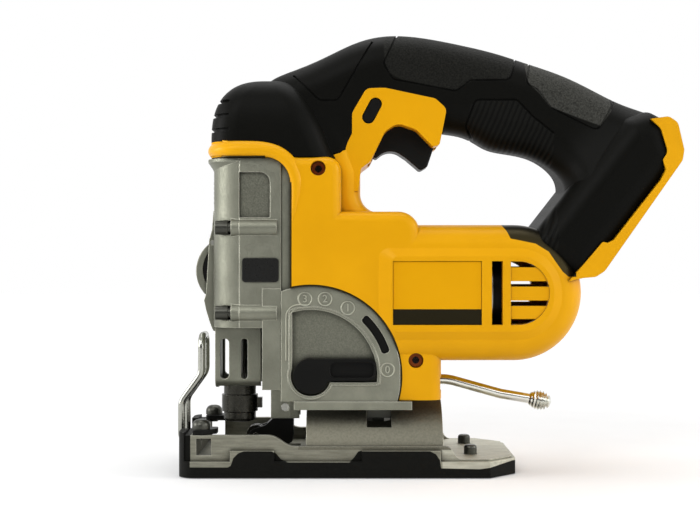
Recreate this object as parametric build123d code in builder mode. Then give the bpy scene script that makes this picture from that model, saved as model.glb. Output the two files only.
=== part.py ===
from build123d import *
import os
from math import acos, cos, pi, radians, sin, tan

# A cordless jigsaw, bare tool, standing on its shoe. Millimetres.
# X runs from the blade end to the battery foot, Y across the tool with the left side
# negative, Z up from the sole. The origin is under the middle of the tool's length.

os.makedirs("parts", exist_ok=True)

# Clearances
fit_gap = 0.15
running_gap = 0.05
moving_gap = 0.4
seat_gap = 0.1

# Main lines of the tool
plunger_x = -92.0
motor_z = 86.75
bevel_z = 3.0
seam_front_x = -90.0
seam_rear_x = -70.0
case_rear_x = -65.6

# Handle sections: top point and bottom point (X, Z), width and corner radius
handle_sections = [
    ((-76.0, 191.0), (-33.0, 138.0), 40.0, 14.0),
    ((-58.0, 199.0), (-32.0, 149.0), 38.0, 14.5),
    ((-38.0, 208.5), (-24.0, 160.0), 37.0, 15.0),
    ((-20.0, 213.4), (-12.0, 169.0), 37.0, 15.0),
    ((-2.0, 212.7), (0.0, 167.5), 37.0, 15.0),
    ((18.0, 209.0), (13.5, 165.0), 37.0, 15.0),
    ((38.0, 204.0), (28.0, 159.2), 37.0, 15.0),
    ((58.0, 197.4), (42.0, 155.3), 38.0, 15.0),
    ((74.0, 191.0), (53.0, 152.6), 39.0, 15.0),
    ((88.0, 183.5), (61.0, 148.0), 42.0, 15.0),
    ((100.0, 177.5), (66.5, 142.0), 49.0, 15.0),
    ((111.0, 172.5), (68.0, 135.0), 57.0, 15.0),
    ((115.0, 162.0), (70.0, 129.0), 60.0, 15.0),
]
grip_skin = 3.0

# Lines let into the grip skin of the handle (X, Z), with their corner radius
grip_lines = [
    ([(-64.7, 192.6), (-52.0, 180.0), (-43.0, 180.0), (-26.0, 209.5)], 4.0),
    ([(-13.5, 214.0), (-20.8, 198.0), (-16.0, 190.3), (14.5, 184.6), (21.5, 189.9), (40.8, 190.1),
      (45.5, 205.0)], 3.0),
    ([(51.5, 200.0), (48.5, 188.5), (54.0, 185.3), (60.5, 176.5), (82.5, 164.8), (92.5, 181.0)], 3.0),
    ([(26.2, 157.5), (19.5, 168.0), (24.0, 180.4), (44.0, 180.4), (52.0, 172.0), (62.0, 164.0)], 3.0),
]
groove_w = 0.9
groove_depth = 0.7

# Nose cap sections: height, front X, rear X, half width and corner radius
cap_sections = [
    (152.0, -104.5, -43.5, 29.0, 13.0),
    (162.0, -104.5, -48.0, 29.0, 13.0),
    (172.0, -103.5, -52.5, 28.5, 13.0),
    (180.0, -100.5, -57.0, 26.5, 12.5),
    (186.0, -95.5, -60.5, 22.5, 12.0),
    (189.8, -87.5, -65.0, 15.5, 9.0),
]
cap_rib_zs = (165.0, 172.0, 179.0)
cap_rib_w = 1.8
cap_rib_depth = 1.3
cap_rib_rear_x = -95.0

# Battery foot: a prism along the rail, depth measured inward from the rail face
rail_x, rail_z = 91.1, 110.6
rail_angle = 52.1
foot_low, foot_high = -26.0, 50.0
foot_depth = 34.0
foot_half_w = 32.0
foot_front_r = 12.0
flange_outside = [
    (106.1, 169.8), (114.7, 171.0), (119.0, 168.0), (122.0, 155.0), (121.2, 150.0), (84.2, 97.3),
    (79.9, 94.5), (74.0, 94.0), (67.0, 92.5),
]
flange_inside = [
    (69.4, 94.9), (77.5, 104.5), (83.2, 111.2), (85.6, 110.7), (88.5, 112.1), (110.9, 140.7),
    (113.3, 145.5), (111.8, 150.3), (114.2, 154.0), (110.9, 165.1),
]
flange_radii = [0, 4, 4, 3, 4, 4, 3, 2, 0, 0, 1, 1, 1, 2, 3, 1.5, 1.5, 4, 5]
foot_top_run, foot_top_depth = 62.0, 16.0
foot_crown_depth = 27.0
foot_crown_back = 2.0
foot_radii = [3, 6, 6, 6, 6, 3]
channel_half_w = 26.0
channel_depth = 10.0
lip_half_w = 22.0
lip_t = 3.6
channel_stop = -8.0

# Trigger surround, the yellow panel of the handle sides
surround_half_w = 18.9
surround_outline = [
    (-43.0, 150.0), (-36.0, 164.0), (-36.0, 174.0), (-29.0, 186.0), (-20.0, 186.2),
    (4.5, 181.0), (10.0, 176.0), (6.5, 158.5), (3.4, 157.5), (-5.0, 166.0),
    (-14.0, 169.0), (-20.0, 165.0), (-27.0, 150.5), (-31.6, 147.0), (-33.0, 136.0),
    (-43.0, 136.0),
]
surround_radii = [0, 4, 6, 4, 8, 4, 4, 1.5, 1, 6, 6, 6, 2, 2, 0, 0]

# Wide front block, neck and hump
block_half_w = 31.0
block_edge_r = 4.5
block_corner_r = 7.0
band_front_x = -104.5
band_bottom_z = 151.7
band_top_z = 160.0
block_top_z = 152.0
block_rear_x = -41.3
block_low_z = 54.0
neck_half_w = 20.0
neck_front_x = -60.0
neck_rear_x = -32.0
hump_top_z = 125.8
hump_rear_x = -3.7
case_corner_r = 11.0
band_slope_x = -77.7
block_slope_x = -63.5
band_slope_r = 8.0
band_nose_r = 17.0
neck_edge_r = 7.0
neck_lean = 5.0
neck_bend_z = 146.0
neck_root_r = 9.0
hump_corner_r = 10.0
hump_edge_r = 5.0

# Motor barrel
barrel_r = 32.75
barrel_front_x = -46.0
barrel_end_x = 42.0
barrel_half_w = 31.0
barrel_edge_r = 11.0
housing_wall = 3.0
room_floor = 4.0

# Raised pad on the barrel's sides with its bevels
pad_half_w = 33.0
pad_front_x, pad_rear_x = -25.0, 65.0
pad_low_z, pad_high_z = 63.5, 109.3
pad_front_bevel = 7.6
pad_bevel = 5.0
pad_front_r, pad_rear_r = 6.0, 22.0
pad_sunk = 0.5

# Name panel, air slot and louvres in the pad
panel_front_x, panel_rear_x = -16.6, 25.6
panel_low_z, panel_high_z = 71.7, 102.0
panel_depth = 1.4
plate_t = 0.7
slot_front_x, slot_rear_x = 30.4, 35.6
louvre_front_x, louvre_rear_x = 39.4, 57.9
louvre_zs = (73.2, 82.0, 91.2, 100.4)
louvre_h = 2.6
grille_depth = 0.8
grille_r = 15.0

# Skirt round the bevel lever
skirt_front_x, skirt_rear_x = -18.8, 7.0
skirt_low_z, skirt_high_z = 35.4, 66.0
skirt_half_w = 28.0
skirt_wall = 3.0
skirt_corner_r = 6.0
skirt_room_z = 51.0
lever_slot_left = 24.5
lever_slot_gap = 0.8

# Housing screws (X, Z) with their head recess
housing_screw_xz = [(-52.2, 146.4), (-5.4, 54.4)]
screw_recess_r = 3.6
screw_head_r = 3.3
screw_head_h = 2.6
screw_shank_r = 1.9
screw_shank_len = 26.0
screw_boss_r = 5.2
screw_seat_y = 22.0
screw_slot_len, screw_slot_w, screw_slot_depth = 3.6, 0.9, 1.2

# Gear case
case_half_w = 28.0
case_front_x = -103.5
case_low_z = 70.0
case_top_z = 151.4
case_front_r = 15.0
case_wall = 3.2
shroud_front_x, shroud_rear_x = -103.0, -80.6
shroud_half_w = 14.0
shroud_low_z = 40.0
shroud_wall = 2.4
shroud_edge_r = 5.0
shroud_slot_low_z, shroud_slot_high_z = 44.3, 64.1
shroud_slots = [(-98.4, 4.4), (-88.7, 3.2)]
column_front_x = -79.0
column_low_z = 40.4
column_high_z = 89.0
boss_high_z, boss_low_z = 118.1, 77.2
boss_r = 4.5
boss_y = 25.5
boss_front_x = -94.0
boss_rear_x = -72.0
case_screw_head_r = 3.4
case_screw_head_h = 6.0
case_screw_neck = 1.6
case_screw_neck_r = 2.6
case_screw_socket = 1.6
case_screw_shank_r = 1.5
case_screw_len = 16.0
side_pocket_rear_x = -75.3
side_pocket_low_z, side_pocket_high_z = 122.9, 144.7
side_pocket_r = 5.0
side_pocket_depth = 1.8
cavity_low_z, cavity_high_z = 80.3, 138.0
cavity_half_w = 22.0
cavity_r = 1.0
clamp_gap = 0.5
shaft_hole_r = 6.0
lip_front_x = -106.3
lip_low_z, lip_edge_z = 145.6, 150.0
lip_taper = 32.0
front_rib_zs = (130.6, 133.0, 135.4, 137.8, 140.2)
front_rib_w = 1.2
front_rib_proud = 0.7
front_rib_half_w = 8.0
seam_step = 1.2
column_proud = 0.6
shroud_front_wall = 1.4
shroud_top_z = 69.8
shroud_root_h = 4.0
badge_front_x, badge_rear_x = -88.6, -71.2
badge_low_z, badge_high_z = 92.0, 103.5
badge_t = 0.7
badge_r = 1.5

# Orbit sector plate, its recess and the selector
hub_x, hub_z = -55.7, 47.1
sector_r = 43.0
sector_rear_x = -15.0
sector_low_z = 35.0
sector_half_w = 29.0
cheek_t = 9.0
arch_r = 40.5
selector_hub_r = 8.4
selector_reach = 31.0
selector_arm_low, selector_arm_high = -2.3, 8.2
selector_t = 4.4
selector_recess_depth = 4.0
recess_r = 31.7
recess_left_x = -64.7
recess_drop = 3.0
hub_recess_r = 9.6
bead_gap, bead_w, bead_h = 1.0, 0.7, 0.4
vent_r_in, vent_r_out = 35.6, 39.6
vent_start, vent_end = 17.0, 48.0
vent_depth = 3.0
vent_end_r = 1.4
vent_insert_t = 1.8
sector_wall = 1.6
motor_relief_x = -40.0
motor_relief = 1.0
hub_pocket_front_x = -34.0
bearing_boss_x = -57.0
bearing_boss_r = 12.0
selector_end_r = 4.0
selector_rim = 1.5
selector_pocket_depth = 2.0
selector_dot_r = 2.2
selector_shaft_r = 3.0
selector_shaft_in = 2.0
selector_shaft_end_y = -20.5

# Saddle foot of the gear case and the bevel clamp
saddle_r = 33.0
saddle_t = 3.5
saddle_front_x, saddle_rear_x = -58.0, 7.5
foot_flange_front_x, foot_flange_rear_x = -63.8, -7.4
foot_flange_half_w = 30.0
foot_flange_low_z = 31.0
foot_block_half_w = 14.0
foot_block_rear_x = -8.0
floor_top_z = 50.0
clamp_x = -23.0
bolt_r = 3.5
clamp_slot_w = 12.0
clamp_slot_half_angle = 54.0
clamp_plate_t = 3.5
clamp_plate_len = 22.0
clamp_plate_half_w = 13.0
lever_z = 43.0
lever_hub_r = 8.0
lever_hub_h = 6.4
hub_low_z = 40.0
lever_knee_x = 12.0
lever_bend_x, lever_bend_z = 38.0, 35.8
lever_bend_r = 25.0
lever_rod_r = 2.5
lever_tip_x, lever_tip_z = 57.5, 32.5
lever_knob_r = 5.0
lever_knob_rings = 7
knob_half_len = 6.2
knob_groove = 0.8
knob_pitch = 1.5
nut_low_z = 22.5
nut_h = 5.3
nut_r = 6.0
bolt_head_h = 3.0

# Shoe and its cover
sole_t = 4.0
shoe_t = 4.5
shoe_front_x, shoe_rear_x = -115.2, 40.7
shoe_half_w = 36.0
shoe_corner = 12.0
rim_t = 3.2
rim_high_z = 19.7
rim_low_z = 14.5
rim_high_end_x = -76.0
rim_low_start_x = -62.5
rim_end_x = 8.0
rim_fade_x = 16.0
front_bar_rear_x = -110.0
window_front_x, window_rear_x = -104.0, -62.0
window_half_w = 16.0
guide_slot_front_x, guide_slot_rear_x = -109.6, -102.6
guide_slot_low_z, guide_slot_high_z = 10.3, 18.2
cover_half_w = 38.5
cover_front_x, cover_rear_x = -118.4, 42.4
cover_clip_z = 12.7
cover_low_z = 7.6
cover_clips = [(-93.5, -72.8), (-31.4, 5.8)]
cover_lip_z = 21.0
cover_lip_half_gap = 20.0
cover_corner = 13.4
cover_front_r = 8.0
shoe_screw_x, shoe_screw_y = 21.5, 18.0
shoe_screw_r = 3.1
shoe_screw_h = 4.4
shoe_screw_edge_r = 1.4

# Wire guard
wire_r = 1.75
wire_half_w = 11.0
wire_front_x = -119.75
wire_top_x = -110.0
wire_foot_z = 13.5
wire_knee_z, wire_elbow_z = 33.0, 46.5
wire_top_z = 65.2
wire_bend_rs = [4, 8, 8, 6, 6, 8, 8, 4]

# Edge guide bracket and its screws on the shoe's front
bracket_front_x, bracket_rear_x = -111.5, -100.5
bracket_t = 2.4
bracket_in_y = 22.0
bracket_corner_r = 1.5
bracket_cut = 6.4
guide_screw_x, guide_screw_y = -108.0, 30.0
guide_screw_r = 4.3
guide_screw_h = 4.6
guide_dome_r = 3.2
guide_screw_shank_r = 2.0

# Blade plunger, yoke and clamp
stroke = 26.0
rod_r = 5.0
rod_low_z = 38.0
rod_top_z = 146.0
rod_overrun = 3.0
rod_room = 1.5
rod_chamfer = 0.8
bush_r = 8.0
lower_bush_low_z, lower_bush_high_z = 70.0, 84.0
upper_bush_low_z = 140.0
yoke_t = 4.0
yoke_half_w = 19.0
yoke_h = 18.0
yoke_corner_r = 3.0
clamp_low_z = 22.5
clamp_high_z = 42.0
clamp_r = 8.0
clamp_edge_r = 1.5
collar_r = 9.0
collar_low_z, collar_high_z = 27.0, 36.0
blade_slot_w = 2.0
blade_slot_len = 9.0
blade_slot_depth = 12.0
collar_tab_len = 2.2
collar_tab_w = 4.0
collar_tab_inset = 2.0
clamp_neck_r = 6.4
yoke_front_x = -88.0
yoke_slot_half = 17.2
sleeve_r = 7.0
sleeve_h = 12.0

# Gear train
gear_module = 0.8
pinion_teeth = 12
gear_teeth = 48
pressure_angle = radians(20)
pinion_addendum = 0.8
gear_addendum = 0.6
dedendum = 1.0
backlash = 0.4
gear_front_x, gear_rear_x = -79.5, -73.5
crank_r = 13.0
crank_pin_r = 4.0
axle_r = 4.0
web_t = 3.0
web_recess = 1.0
crank_boss_wall = 1.0
axle_flange_w = 1.5
axle_flange_t = 1.4
tooth_root = 0.4

# Motor
can_r = 24.0
can_t = 2.6
can_front_x, can_rear_x = -22.0, 32.0
motor_rib_xs = (-17.0, 24.0)
core_r = 18.0
core_front_x, core_rear_x = -14.0, 22.0
core_slots = 9
shaft_r = 2.5
shaft_rear_x = 39.5
shaft_overhang = 0.5
front_bearing_x, rear_bearing_x = -60.0, 34.0
bearing_r, bearing_w = 8.0, 5.0
commutator_r = 8.5
commutator_neck_r = 6.5
commutator_front_x, commutator_rear_x = 25.0, 31.0
bell_rear_x = 40.2
bell_spigot = 2.0
bell_end_skin = 0.4
bell_shaft_room = 1.0
fan_front_x, fan_rear_x = -36.0, -26.0
fan_r = 22.0
fan_blades = 11
fan_disc_t = 1.6
fan_hub_r = 6.0
fan_blade_t = 1.2
fan_root = 0.5
core_slot_depth, core_slot_w, core_mouth_w = 9.0, 4.5, 1.6
can_front_hole_r = 9.0
bell_floor_x = 33.0
brush_front_x = 25.5
brush_in_y, brush_out_y = 8.0, 19.0
brush_l, brush_w, brush_wall = 4.6, 6.0, 1.2
brush_holder_back = 1.0

# Orbit fork and guide roller
fork_pivot_x, fork_pivot_z = -69.0, 30.0
fork_half_w = 5.6
fork_pin_r = 2.0
fork_holder_front_x, fork_holder_rear_x = -76.0, -62.0
fork_holder_low_z = 24.5
fork_holder_half_w = 9.0
roller_x, roller_z = -83.6, 15.5
roller_r = 5.0
roller_groove_r = 3.6
roller_half_w = 3.0
roller_pin_r = 1.5
roller_land = 1.4
fork_holder_high_z = 39.9
fork_room_z = 35.5
fork_web_high_z = 48.0
fork_outline = [
    (-73.2, 34.0), (-64.8, 34.0), (-65.4, 12.6), (-68.0, 11.0), (-80.0, 11.0), (-86.6, 12.6),
    (-86.6, 18.2), (-79.0, 20.6), (-75.6, 23.6),
]
fork_radii = [4, 4, 1.5, 2, 3, 2.5, 2.5, 3, 2]

# Blade release lever in the nose of the front cover
release_x, release_z = -104.2, 111.0
release_half_w = 9.0
release_pin_r = 1.2
release_eye_r = 2.4
nose_half_w = 12.6
nose_outline = [
    (-100.0, 127.5), (-103.9, 127.0), (-104.7, 117.2), (-106.1, 112.3), (-106.8, 100.0), (-107.6, 86.3),
    (-108.6, 82.9), (-107.6, 78.0), (-105.8, 72.1), (-104.2, 68.0), (-100.0, 66.0),
]
nose_r = 1.2
release_room_low_z, release_room_high_z = 84.6, 120.0
release_front = [(-106.5, 110.4), (-112.9, 97.6), (-108.4, 85.6)]
release_back_x = -104.2
release_back_high_z = 109.0
release_pad_arc = [(-106.5, 106.6), (-109.6, 97.8), (-106.5, 89.0)]
release_pad_depth = 1.0
release_pad_t = 0.7

# Trigger, lock button and switch
trigger_half_w = 8.0
trigger_outline = [
    (-26.6, 150.8), (-17.5, 158.0), (-9.5, 152.8), (-2.2, 146.6), (1.2, 148.6),
    (5.0, 160.0), (4.0, 168.5), (-15.0, 173.0), (-22.0, 166.0),
]
trigger_radii = [1.2, 8, 8, 1.6, 1.6, 3, 3, 3, 3]
trigger_front_z = 157.0
trigger_edge_r = 1.0
trigger_room = [
    (-29.0, 147.0), (-23.5, 167.0), (-13.0, 180.0), (8.0, 177.0), (9.2, 166.0), (6.4, 158.0), (2.6, 145.0),
]
trigger_room_r = 1.0
lock_x, lock_z = -26.3, 175.1
lock_len, lock_w = 12.7, 5.4
lock_angle = 62.0
lock_travel = 4.0
lock_left_y = -18.3
switch_front_x, switch_rear_x = -18.0, 10.0
switch_low_z, switch_high_z = 181.0, 199.0
switch_half_w = 8.0

# Battery terminals
terminal_low, terminal_high = -4.0, 30.0
terminal_half_w = 15.0
terminal_h = 4.5
blade_ys = (-10.0, -4.0, 4.0, 10.0)
blade_t = 0.8
blade_len = 11.0
blade_h = 3.5

# Derived places
shoe_top_z = sole_t + shoe_t
barrel_low_z = motor_z - barrel_r
pinion_pitch_r = gear_module * pinion_teeth / 2
gear_pitch_r = gear_module * gear_teeth / 2
gear_z = motor_z + pinion_pitch_r + gear_pitch_r
yoke_z = gear_z - crank_r
brush_x = (brush_front_x + bell_floor_x) / 2
brush_y = (brush_in_y + brush_out_y) / 2
rail_dir = (cos(radians(rail_angle)), 0, sin(radians(rail_angle)))
channel_len = 2 * foot_top_run - channel_stop
selector_back_y = selector_recess_depth - sector_half_w - moving_gap
rail_plane = Plane(origin=(rail_x, 0, rail_z), x_dir=rail_dir, z_dir=(0, -1, 0))
side_plane = Plane.XZ
through = 2 * cover_half_w

def span_box(x, y, z, mode=Mode.ADD):
    """Box between two values along each axis, in the part being built."""
    with Locations(((x[0] + x[1]) / 2, (y[0] + y[1]) / 2, (z[0] + z[1]) / 2)):
        Box(x[1] - x[0], y[1] - y[0], z[1] - z[0], mode=mode)


def x_rod(x, y, z, radius, mode=Mode.ADD):
    """Cylinder along X between two X values."""
    with Locations(Location(((x[0] + x[1]) / 2, y, z), (0, 90, 0))):
        Cylinder(radius, x[1] - x[0], mode=mode)


def y_rod(x, y, z, radius, mode=Mode.ADD):
    """Cylinder along Y between two Y values."""
    with Locations(Location((x, (y[0] + y[1]) / 2, z), (90, 0, 0))):
        Cylinder(radius, y[1] - y[0], mode=mode)


def z_rod(x, y, z, radius, mode=Mode.ADD):
    """Cylinder along Z between two heights."""
    with Locations((x, y, (z[0] + z[1]) / 2)):
        Cylinder(radius, z[1] - z[0], mode=mode)


def save(piece, name):
    """Label a finished piece and write its file."""
    piece.part.label = name
    export_step(piece.part, f"parts/{name}.step")


def hub_point(radius, turn):
    """Point in the side view at a radius and an angle round the orbit hub."""
    return (hub_x + radius * cos(radians(turn)), hub_z + radius * sin(radians(turn)))


def slot_ray(radius, turn):
    """Point in the cross view at a radius and an angle from the upright round the bevel axis."""
    return (radius * sin(radians(turn)), bevel_z + radius * cos(radians(turn)))


def handle_form(inset):
    """Handle lofted through its sections, each drawn in by the inset."""
    with BuildPart() as form:
        for top, bottom, width, corner in handle_sections:
            rise = Vector(top[0] - bottom[0], 0, top[1] - bottom[1])
            middle = ((top[0] + bottom[0]) / 2, 0, (top[1] + bottom[1]) / 2)
            with BuildSketch(Plane(origin=middle, x_dir=(0, 1, 0), z_dir=(rise.Z, 0, -rise.X))):
                RectangleRounded(width - 2 * inset, rise.length - 2 * inset, corner - inset)
        loft()
    return form.part


def cap_form(inset):
    """Nose cap lofted through level sections, drawn in by the inset at the sides and top."""
    top_z = cap_sections[-1][0]
    with BuildPart() as form:
        for z, front, rear, half, corner in cap_sections:
            drop = inset if z == top_z else 0
            with BuildSketch(Plane.XY.offset(z - drop)):
                with Locations(((front + rear) / 2, 0)):
                    RectangleRounded(rear - front - 2 * inset, 2 * (half - inset), corner - inset)
        loft()
    return form.part


def foot_form(inset):
    """Battery foot as a prism along the rail with rounded edges towards the handle loop."""
    low, high, top = foot_low + inset, foot_high - inset, foot_top_run - inset
    with BuildPart() as form:
        with BuildSketch(rail_plane):
            with BuildLine():
                FilletPolyline(
                    (low, inset), (high, inset), (top, foot_top_depth),
                    (top - foot_crown_back, foot_crown_depth), (high, foot_depth - inset),
                    (low, foot_depth - inset), radius=foot_radii, close=True,
                )
            make_face()
        extrude(amount=foot_half_w - inset, both=True)
        long_edges = form.edges().filter_by(Axis((0, 0, 0), rail_dir))
        inner = long_edges.sort_by(lambda e: rail_plane.to_local_coords(e.center()).Y)[-2:]
        fillet(inner, foot_front_r - inset)
    return form.part


def barrel_form(inset):
    """Motor barrel: a stadium in the side view with rounded side edges."""
    r = barrel_r - inset
    with BuildPart() as form:
        with BuildSketch(side_plane):
            with BuildLine():
                top_z, low_z = motor_z + r, motor_z - r
                front = barrel_front_x + inset
                corner = barrel_edge_r - inset
                Line((barrel_end_x, top_z), (front + corner, top_z))
                RadiusArc((front + corner, top_z), (front, top_z - corner), -corner)
                Line((front, top_z - corner), (front, low_z + corner))
                RadiusArc((front, low_z + corner), (front + corner, low_z), -corner)
                Line((front + corner, low_z), (barrel_end_x, low_z))
                ThreePointArc((barrel_end_x, low_z), (barrel_end_x + r, motor_z), (barrel_end_x, top_z))
            make_face()
        extrude(amount=barrel_half_w - inset, both=True)
        rims = form.faces().filter_by(Axis.Y).edges()
        fillet(rims, barrel_edge_r - inset)
    return form.part


handle_outer = handle_form(0)
handle_core = handle_form(grip_skin)
cap_outer = cap_form(0)
cap_core = cap_form(grip_skin)
foot_outer = foot_form(0)
foot_core = foot_form(grip_skin)
barrel_outer = barrel_form(0)
barrel_hollow = barrel_form(housing_wall)


# Trigger surround block with its arch over the trigger
with BuildPart() as surround:
    with BuildSketch(side_plane):
        with BuildLine():
            FilletPolyline(*surround_outline, radius=surround_radii, close=True)
        make_face()
    extrude(amount=surround_half_w, both=True)

# Yellow flange of the battery foot that holds the rails
with BuildPart() as flange:
    with BuildSketch(side_plane):
        with BuildLine():
            FilletPolyline(*flange_outside, *flange_inside, radius=flange_radii, close=True)
        make_face()
    extrude(amount=foot_half_w, both=True)

# Everything behind the flange's inner edge, where the grip skin ends
with BuildPart() as flange_zone:
    with BuildSketch(side_plane):
        with BuildLine():
            FilletPolyline(
                *flange_inside, *flange_outside[:2], (2 * rail_x, flange_outside[1][1]), (2 * rail_x, 0),
                (flange_inside[0][0], 0), radius=flange_radii[9:] + [0, 0, 0, 0, 0], close=True,
            )
        make_face()
    extrude(amount=through, both=True)

def on_block_outside(point):
    """True on the top and rear edges of the front block, which are rounded."""
    return point.Z > band_bottom_z + block_edge_r / 2 or point.X > block_rear_x - block_edge_r


# Lower body before it is hollowed: front block, neck, hump, barrel with its pads, and skirt
with BuildPart() as front_block:
    with BuildSketch(side_plane):
        with BuildLine():
            FilletPolyline(
                (band_front_x, band_bottom_z), (band_front_x, band_top_z), (band_slope_x, band_top_z),
                (block_slope_x, block_top_z), (block_rear_x, block_top_z), (block_rear_x, block_low_z),
                (case_rear_x, block_low_z), (case_rear_x, band_bottom_z),
                radius=[0, block_corner_r, band_slope_r, band_slope_r, block_corner_r, 0, 0, case_corner_r],
                close=True,
            )
        make_face()
    extrude(amount=block_half_w, both=True)
    block_rims = front_block.faces().filter_by(Axis.Y).edges()
    fillet(block_rims.filter_by(lambda e: on_block_outside(e.center())), block_edge_r)
    with BuildSketch(Plane.XY):
        with BuildLine():
            FilletPolyline(
                (band_front_x, -block_half_w), (band_front_x, block_half_w),
                (block_rear_x, block_half_w), (block_rear_x, -block_half_w),
                radius=[band_nose_r, band_nose_r, 0, 0], close=True,
            )
        make_face()
    extrude(amount=2 * band_top_z, mode=Mode.INTERSECT)

with BuildPart() as neck:
    with BuildSketch(side_plane):
        with BuildLine():
            neck_end_x = hump_rear_x - hump_corner_r
            FilletPolyline(
                (neck_front_x, motor_z), (neck_front_x, band_top_z), (neck_rear_x - neck_lean, band_top_z),
                (neck_rear_x, neck_bend_z), (neck_rear_x, hump_top_z), (neck_end_x, hump_top_z),
                (neck_end_x, motor_z), radius=[0, 0, 3, 6, neck_root_r, 0, 0], close=True,
            )
        make_face()
    extrude(amount=neck_half_w, both=True)
    neck_sides = neck.faces().filter_by(Axis.Y)
    fillet(
        neck_sides.edges().filter_by(lambda e: neck_rear_x - 1 < e.center().X < neck_end_x - 1),
        neck_edge_r,
    )

with BuildPart() as hump:
    with BuildSketch(side_plane):
        with BuildLine():
            FilletPolyline(
                (neck_front_x, motor_z), (neck_front_x, hump_top_z), (hump_rear_x, hump_top_z),
                (hump_rear_x, motor_z), radius=[0, 0, hump_corner_r, 0], close=True,
            )
        make_face()
    extrude(amount=block_half_w, both=True)
    hump_rims = hump.faces().filter_by(Axis.Y).edges()
    fillet(
        hump_rims.filter_by(lambda e: e.center().Z > motor_z + 1 and e.center().X > neck_front_x + 1),
        hump_edge_r,
    )

# Raised pads with bevelled edges on both sides of the barrel
with BuildPart() as pads:
    for side in (-1, 1):
        for level, front, bevel in (
            (barrel_half_w - pad_sunk, 0, 0), (pad_half_w, pad_front_bevel, pad_bevel),
        ):
            with BuildSketch(Plane.XZ.offset(side * level)):
                with BuildLine():
                    low, high = pad_low_z + bevel, pad_high_z - bevel
                    front_r, rear_r = pad_front_r - bevel / 2, pad_rear_r - bevel
                    FilletPolyline(
                        (pad_front_x + front, low), (pad_rear_x - bevel, low), (pad_rear_x - bevel, high),
                        (pad_front_x + front, high), radius=[front_r, rear_r, rear_r, front_r], close=True,
                    )
                make_face()
        loft(ruled=True)

with BuildPart() as skirt:
    with BuildSketch(Plane.XY.offset(skirt_low_z)):
        with BuildLine():
            FilletPolyline(
                (skirt_front_x, -skirt_half_w), (skirt_front_x, skirt_half_w),
                (skirt_rear_x, skirt_half_w), (skirt_rear_x, -skirt_half_w),
                radius=[0, 0, skirt_corner_r, skirt_corner_r], close=True,
            )
        make_face()
    extrude(amount=skirt_high_z - skirt_low_z)

with BuildPart() as body_mass:
    add(front_block.part)
    add(neck.part)
    add(hump.part)
    add(barrel_outer)
    add(pads.part)
    add(skirt.part)
    with BuildSketch(side_plane):
        with Locations((hub_x, hub_z)):
            Circle(sector_r + fit_gap)
    extrude(amount=through, both=True, mode=Mode.SUBTRACT)
    with BuildSketch(side_plane):
        with Locations((case_rear_x - through / 2, 0)):
            Rectangle(through, 2 * (band_bottom_z - case_corner_r))
    extrude(amount=through, both=True, mode=Mode.SUBTRACT)


# Pockets that the two housing halves and the grip skin share
with BuildPart() as pockets:
    with BuildSketch(side_plane):
        with BuildLine():
            FilletPolyline(*trigger_room, radius=trigger_room_r, close=True)
        make_face()
    extrude(amount=trigger_half_w + moving_gap, both=True)
    span_box(
        (switch_front_x - seat_gap, switch_rear_x + seat_gap),
        (-switch_half_w - seat_gap, switch_half_w + seat_gap),
        (switch_low_z - seat_gap, switch_high_z + seat_gap),
    )
    with BuildSketch(side_plane):
        with Locations(Location((lock_x, lock_z, 0), (0, 0, lock_angle))):
            SlotOverall(lock_len + 2 * moving_gap, lock_w + 2 * moving_gap)
    extrude(amount=through, both=True)
    z_rod(plunger_x, 0, (case_top_z - 1, rod_top_z + stroke + rod_overrun), rod_r + rod_room)
    with BuildSketch(rail_plane):
        with Locations((channel_stop + channel_len / 2, (lip_t + channel_depth) / 2)):
            Rectangle(channel_len, channel_depth - lip_t)
    extrude(amount=channel_half_w, both=True)
    with BuildSketch(rail_plane):
        with Locations((channel_stop + channel_len / 2, 0)):
            Rectangle(channel_len, 2 * lip_t + 2)
    extrude(amount=lip_half_w, both=True)

# Rooms inside the lower body
with BuildPart() as rooms:
    room_half_w = block_half_w - housing_wall - moving_gap
    span_box(
        (case_rear_x - 1, block_rear_x - housing_wall), (-room_half_w, room_half_w),
        (block_low_z + room_floor, block_top_z - housing_wall),
    )
    span_box(
        (case_rear_x - 1, barrel_front_x + barrel_edge_r), (-room_half_w, room_half_w),
        (barrel_low_z + room_floor, motor_z + barrel_r - room_floor),
    )
    add(barrel_hollow)
    span_box(
        (skirt_front_x - 2, skirt_rear_x - skirt_wall),
        (-skirt_half_w + skirt_wall, skirt_half_w - skirt_wall),
        (skirt_low_z - 1, skirt_room_z),
    )
    x_rod((skirt_front_x - 2, skirt_rear_x + 1), 0, bevel_z, arch_r)

# Ribs that hold the motor can
with BuildPart() as motor_ribs:
    for rib_x in motor_rib_xs:
        span_box(
            (rib_x, rib_x + housing_wall), (-barrel_half_w, barrel_half_w),
            (motor_z - barrel_r, motor_z + barrel_r),
        )
    add(barrel_hollow, mode=Mode.INTERSECT)
    x_rod((barrel_front_x, barrel_end_x), 0, motor_z, can_r + seat_gap, mode=Mode.SUBTRACT)
    y_rod(hub_x, (-through, through), hub_z, sector_r + fit_gap, mode=Mode.SUBTRACT)

# Bosses of the housing screws, from the room's one side to the other
with BuildPart() as screw_bosses:
    for screw_x, screw_z in housing_screw_xz:
        y_rod(screw_x, (-skirt_half_w, skirt_half_w), screw_z, screw_boss_r)


def left_half(form):
    """The half of a form on the left of the tool's middle plane."""
    return split(form, bisect_by=side_plane, keep=Keep.TOP)


mass_halves = [
    left_half(form)
    for form in (body_mass.part, handle_core, cap_core, foot_core, surround.part, flange.part)
]
skin_halves = [left_half(form) for form in (handle_outer, cap_outer, foot_outer)]
zone_half = left_half(flange_zone.part)
stay_halves = [left_half(form) for form in (motor_ribs.part, screw_bosses.part)]
room_half = left_half(rooms.part)
pocket_half = left_half(pockets.part)

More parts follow.
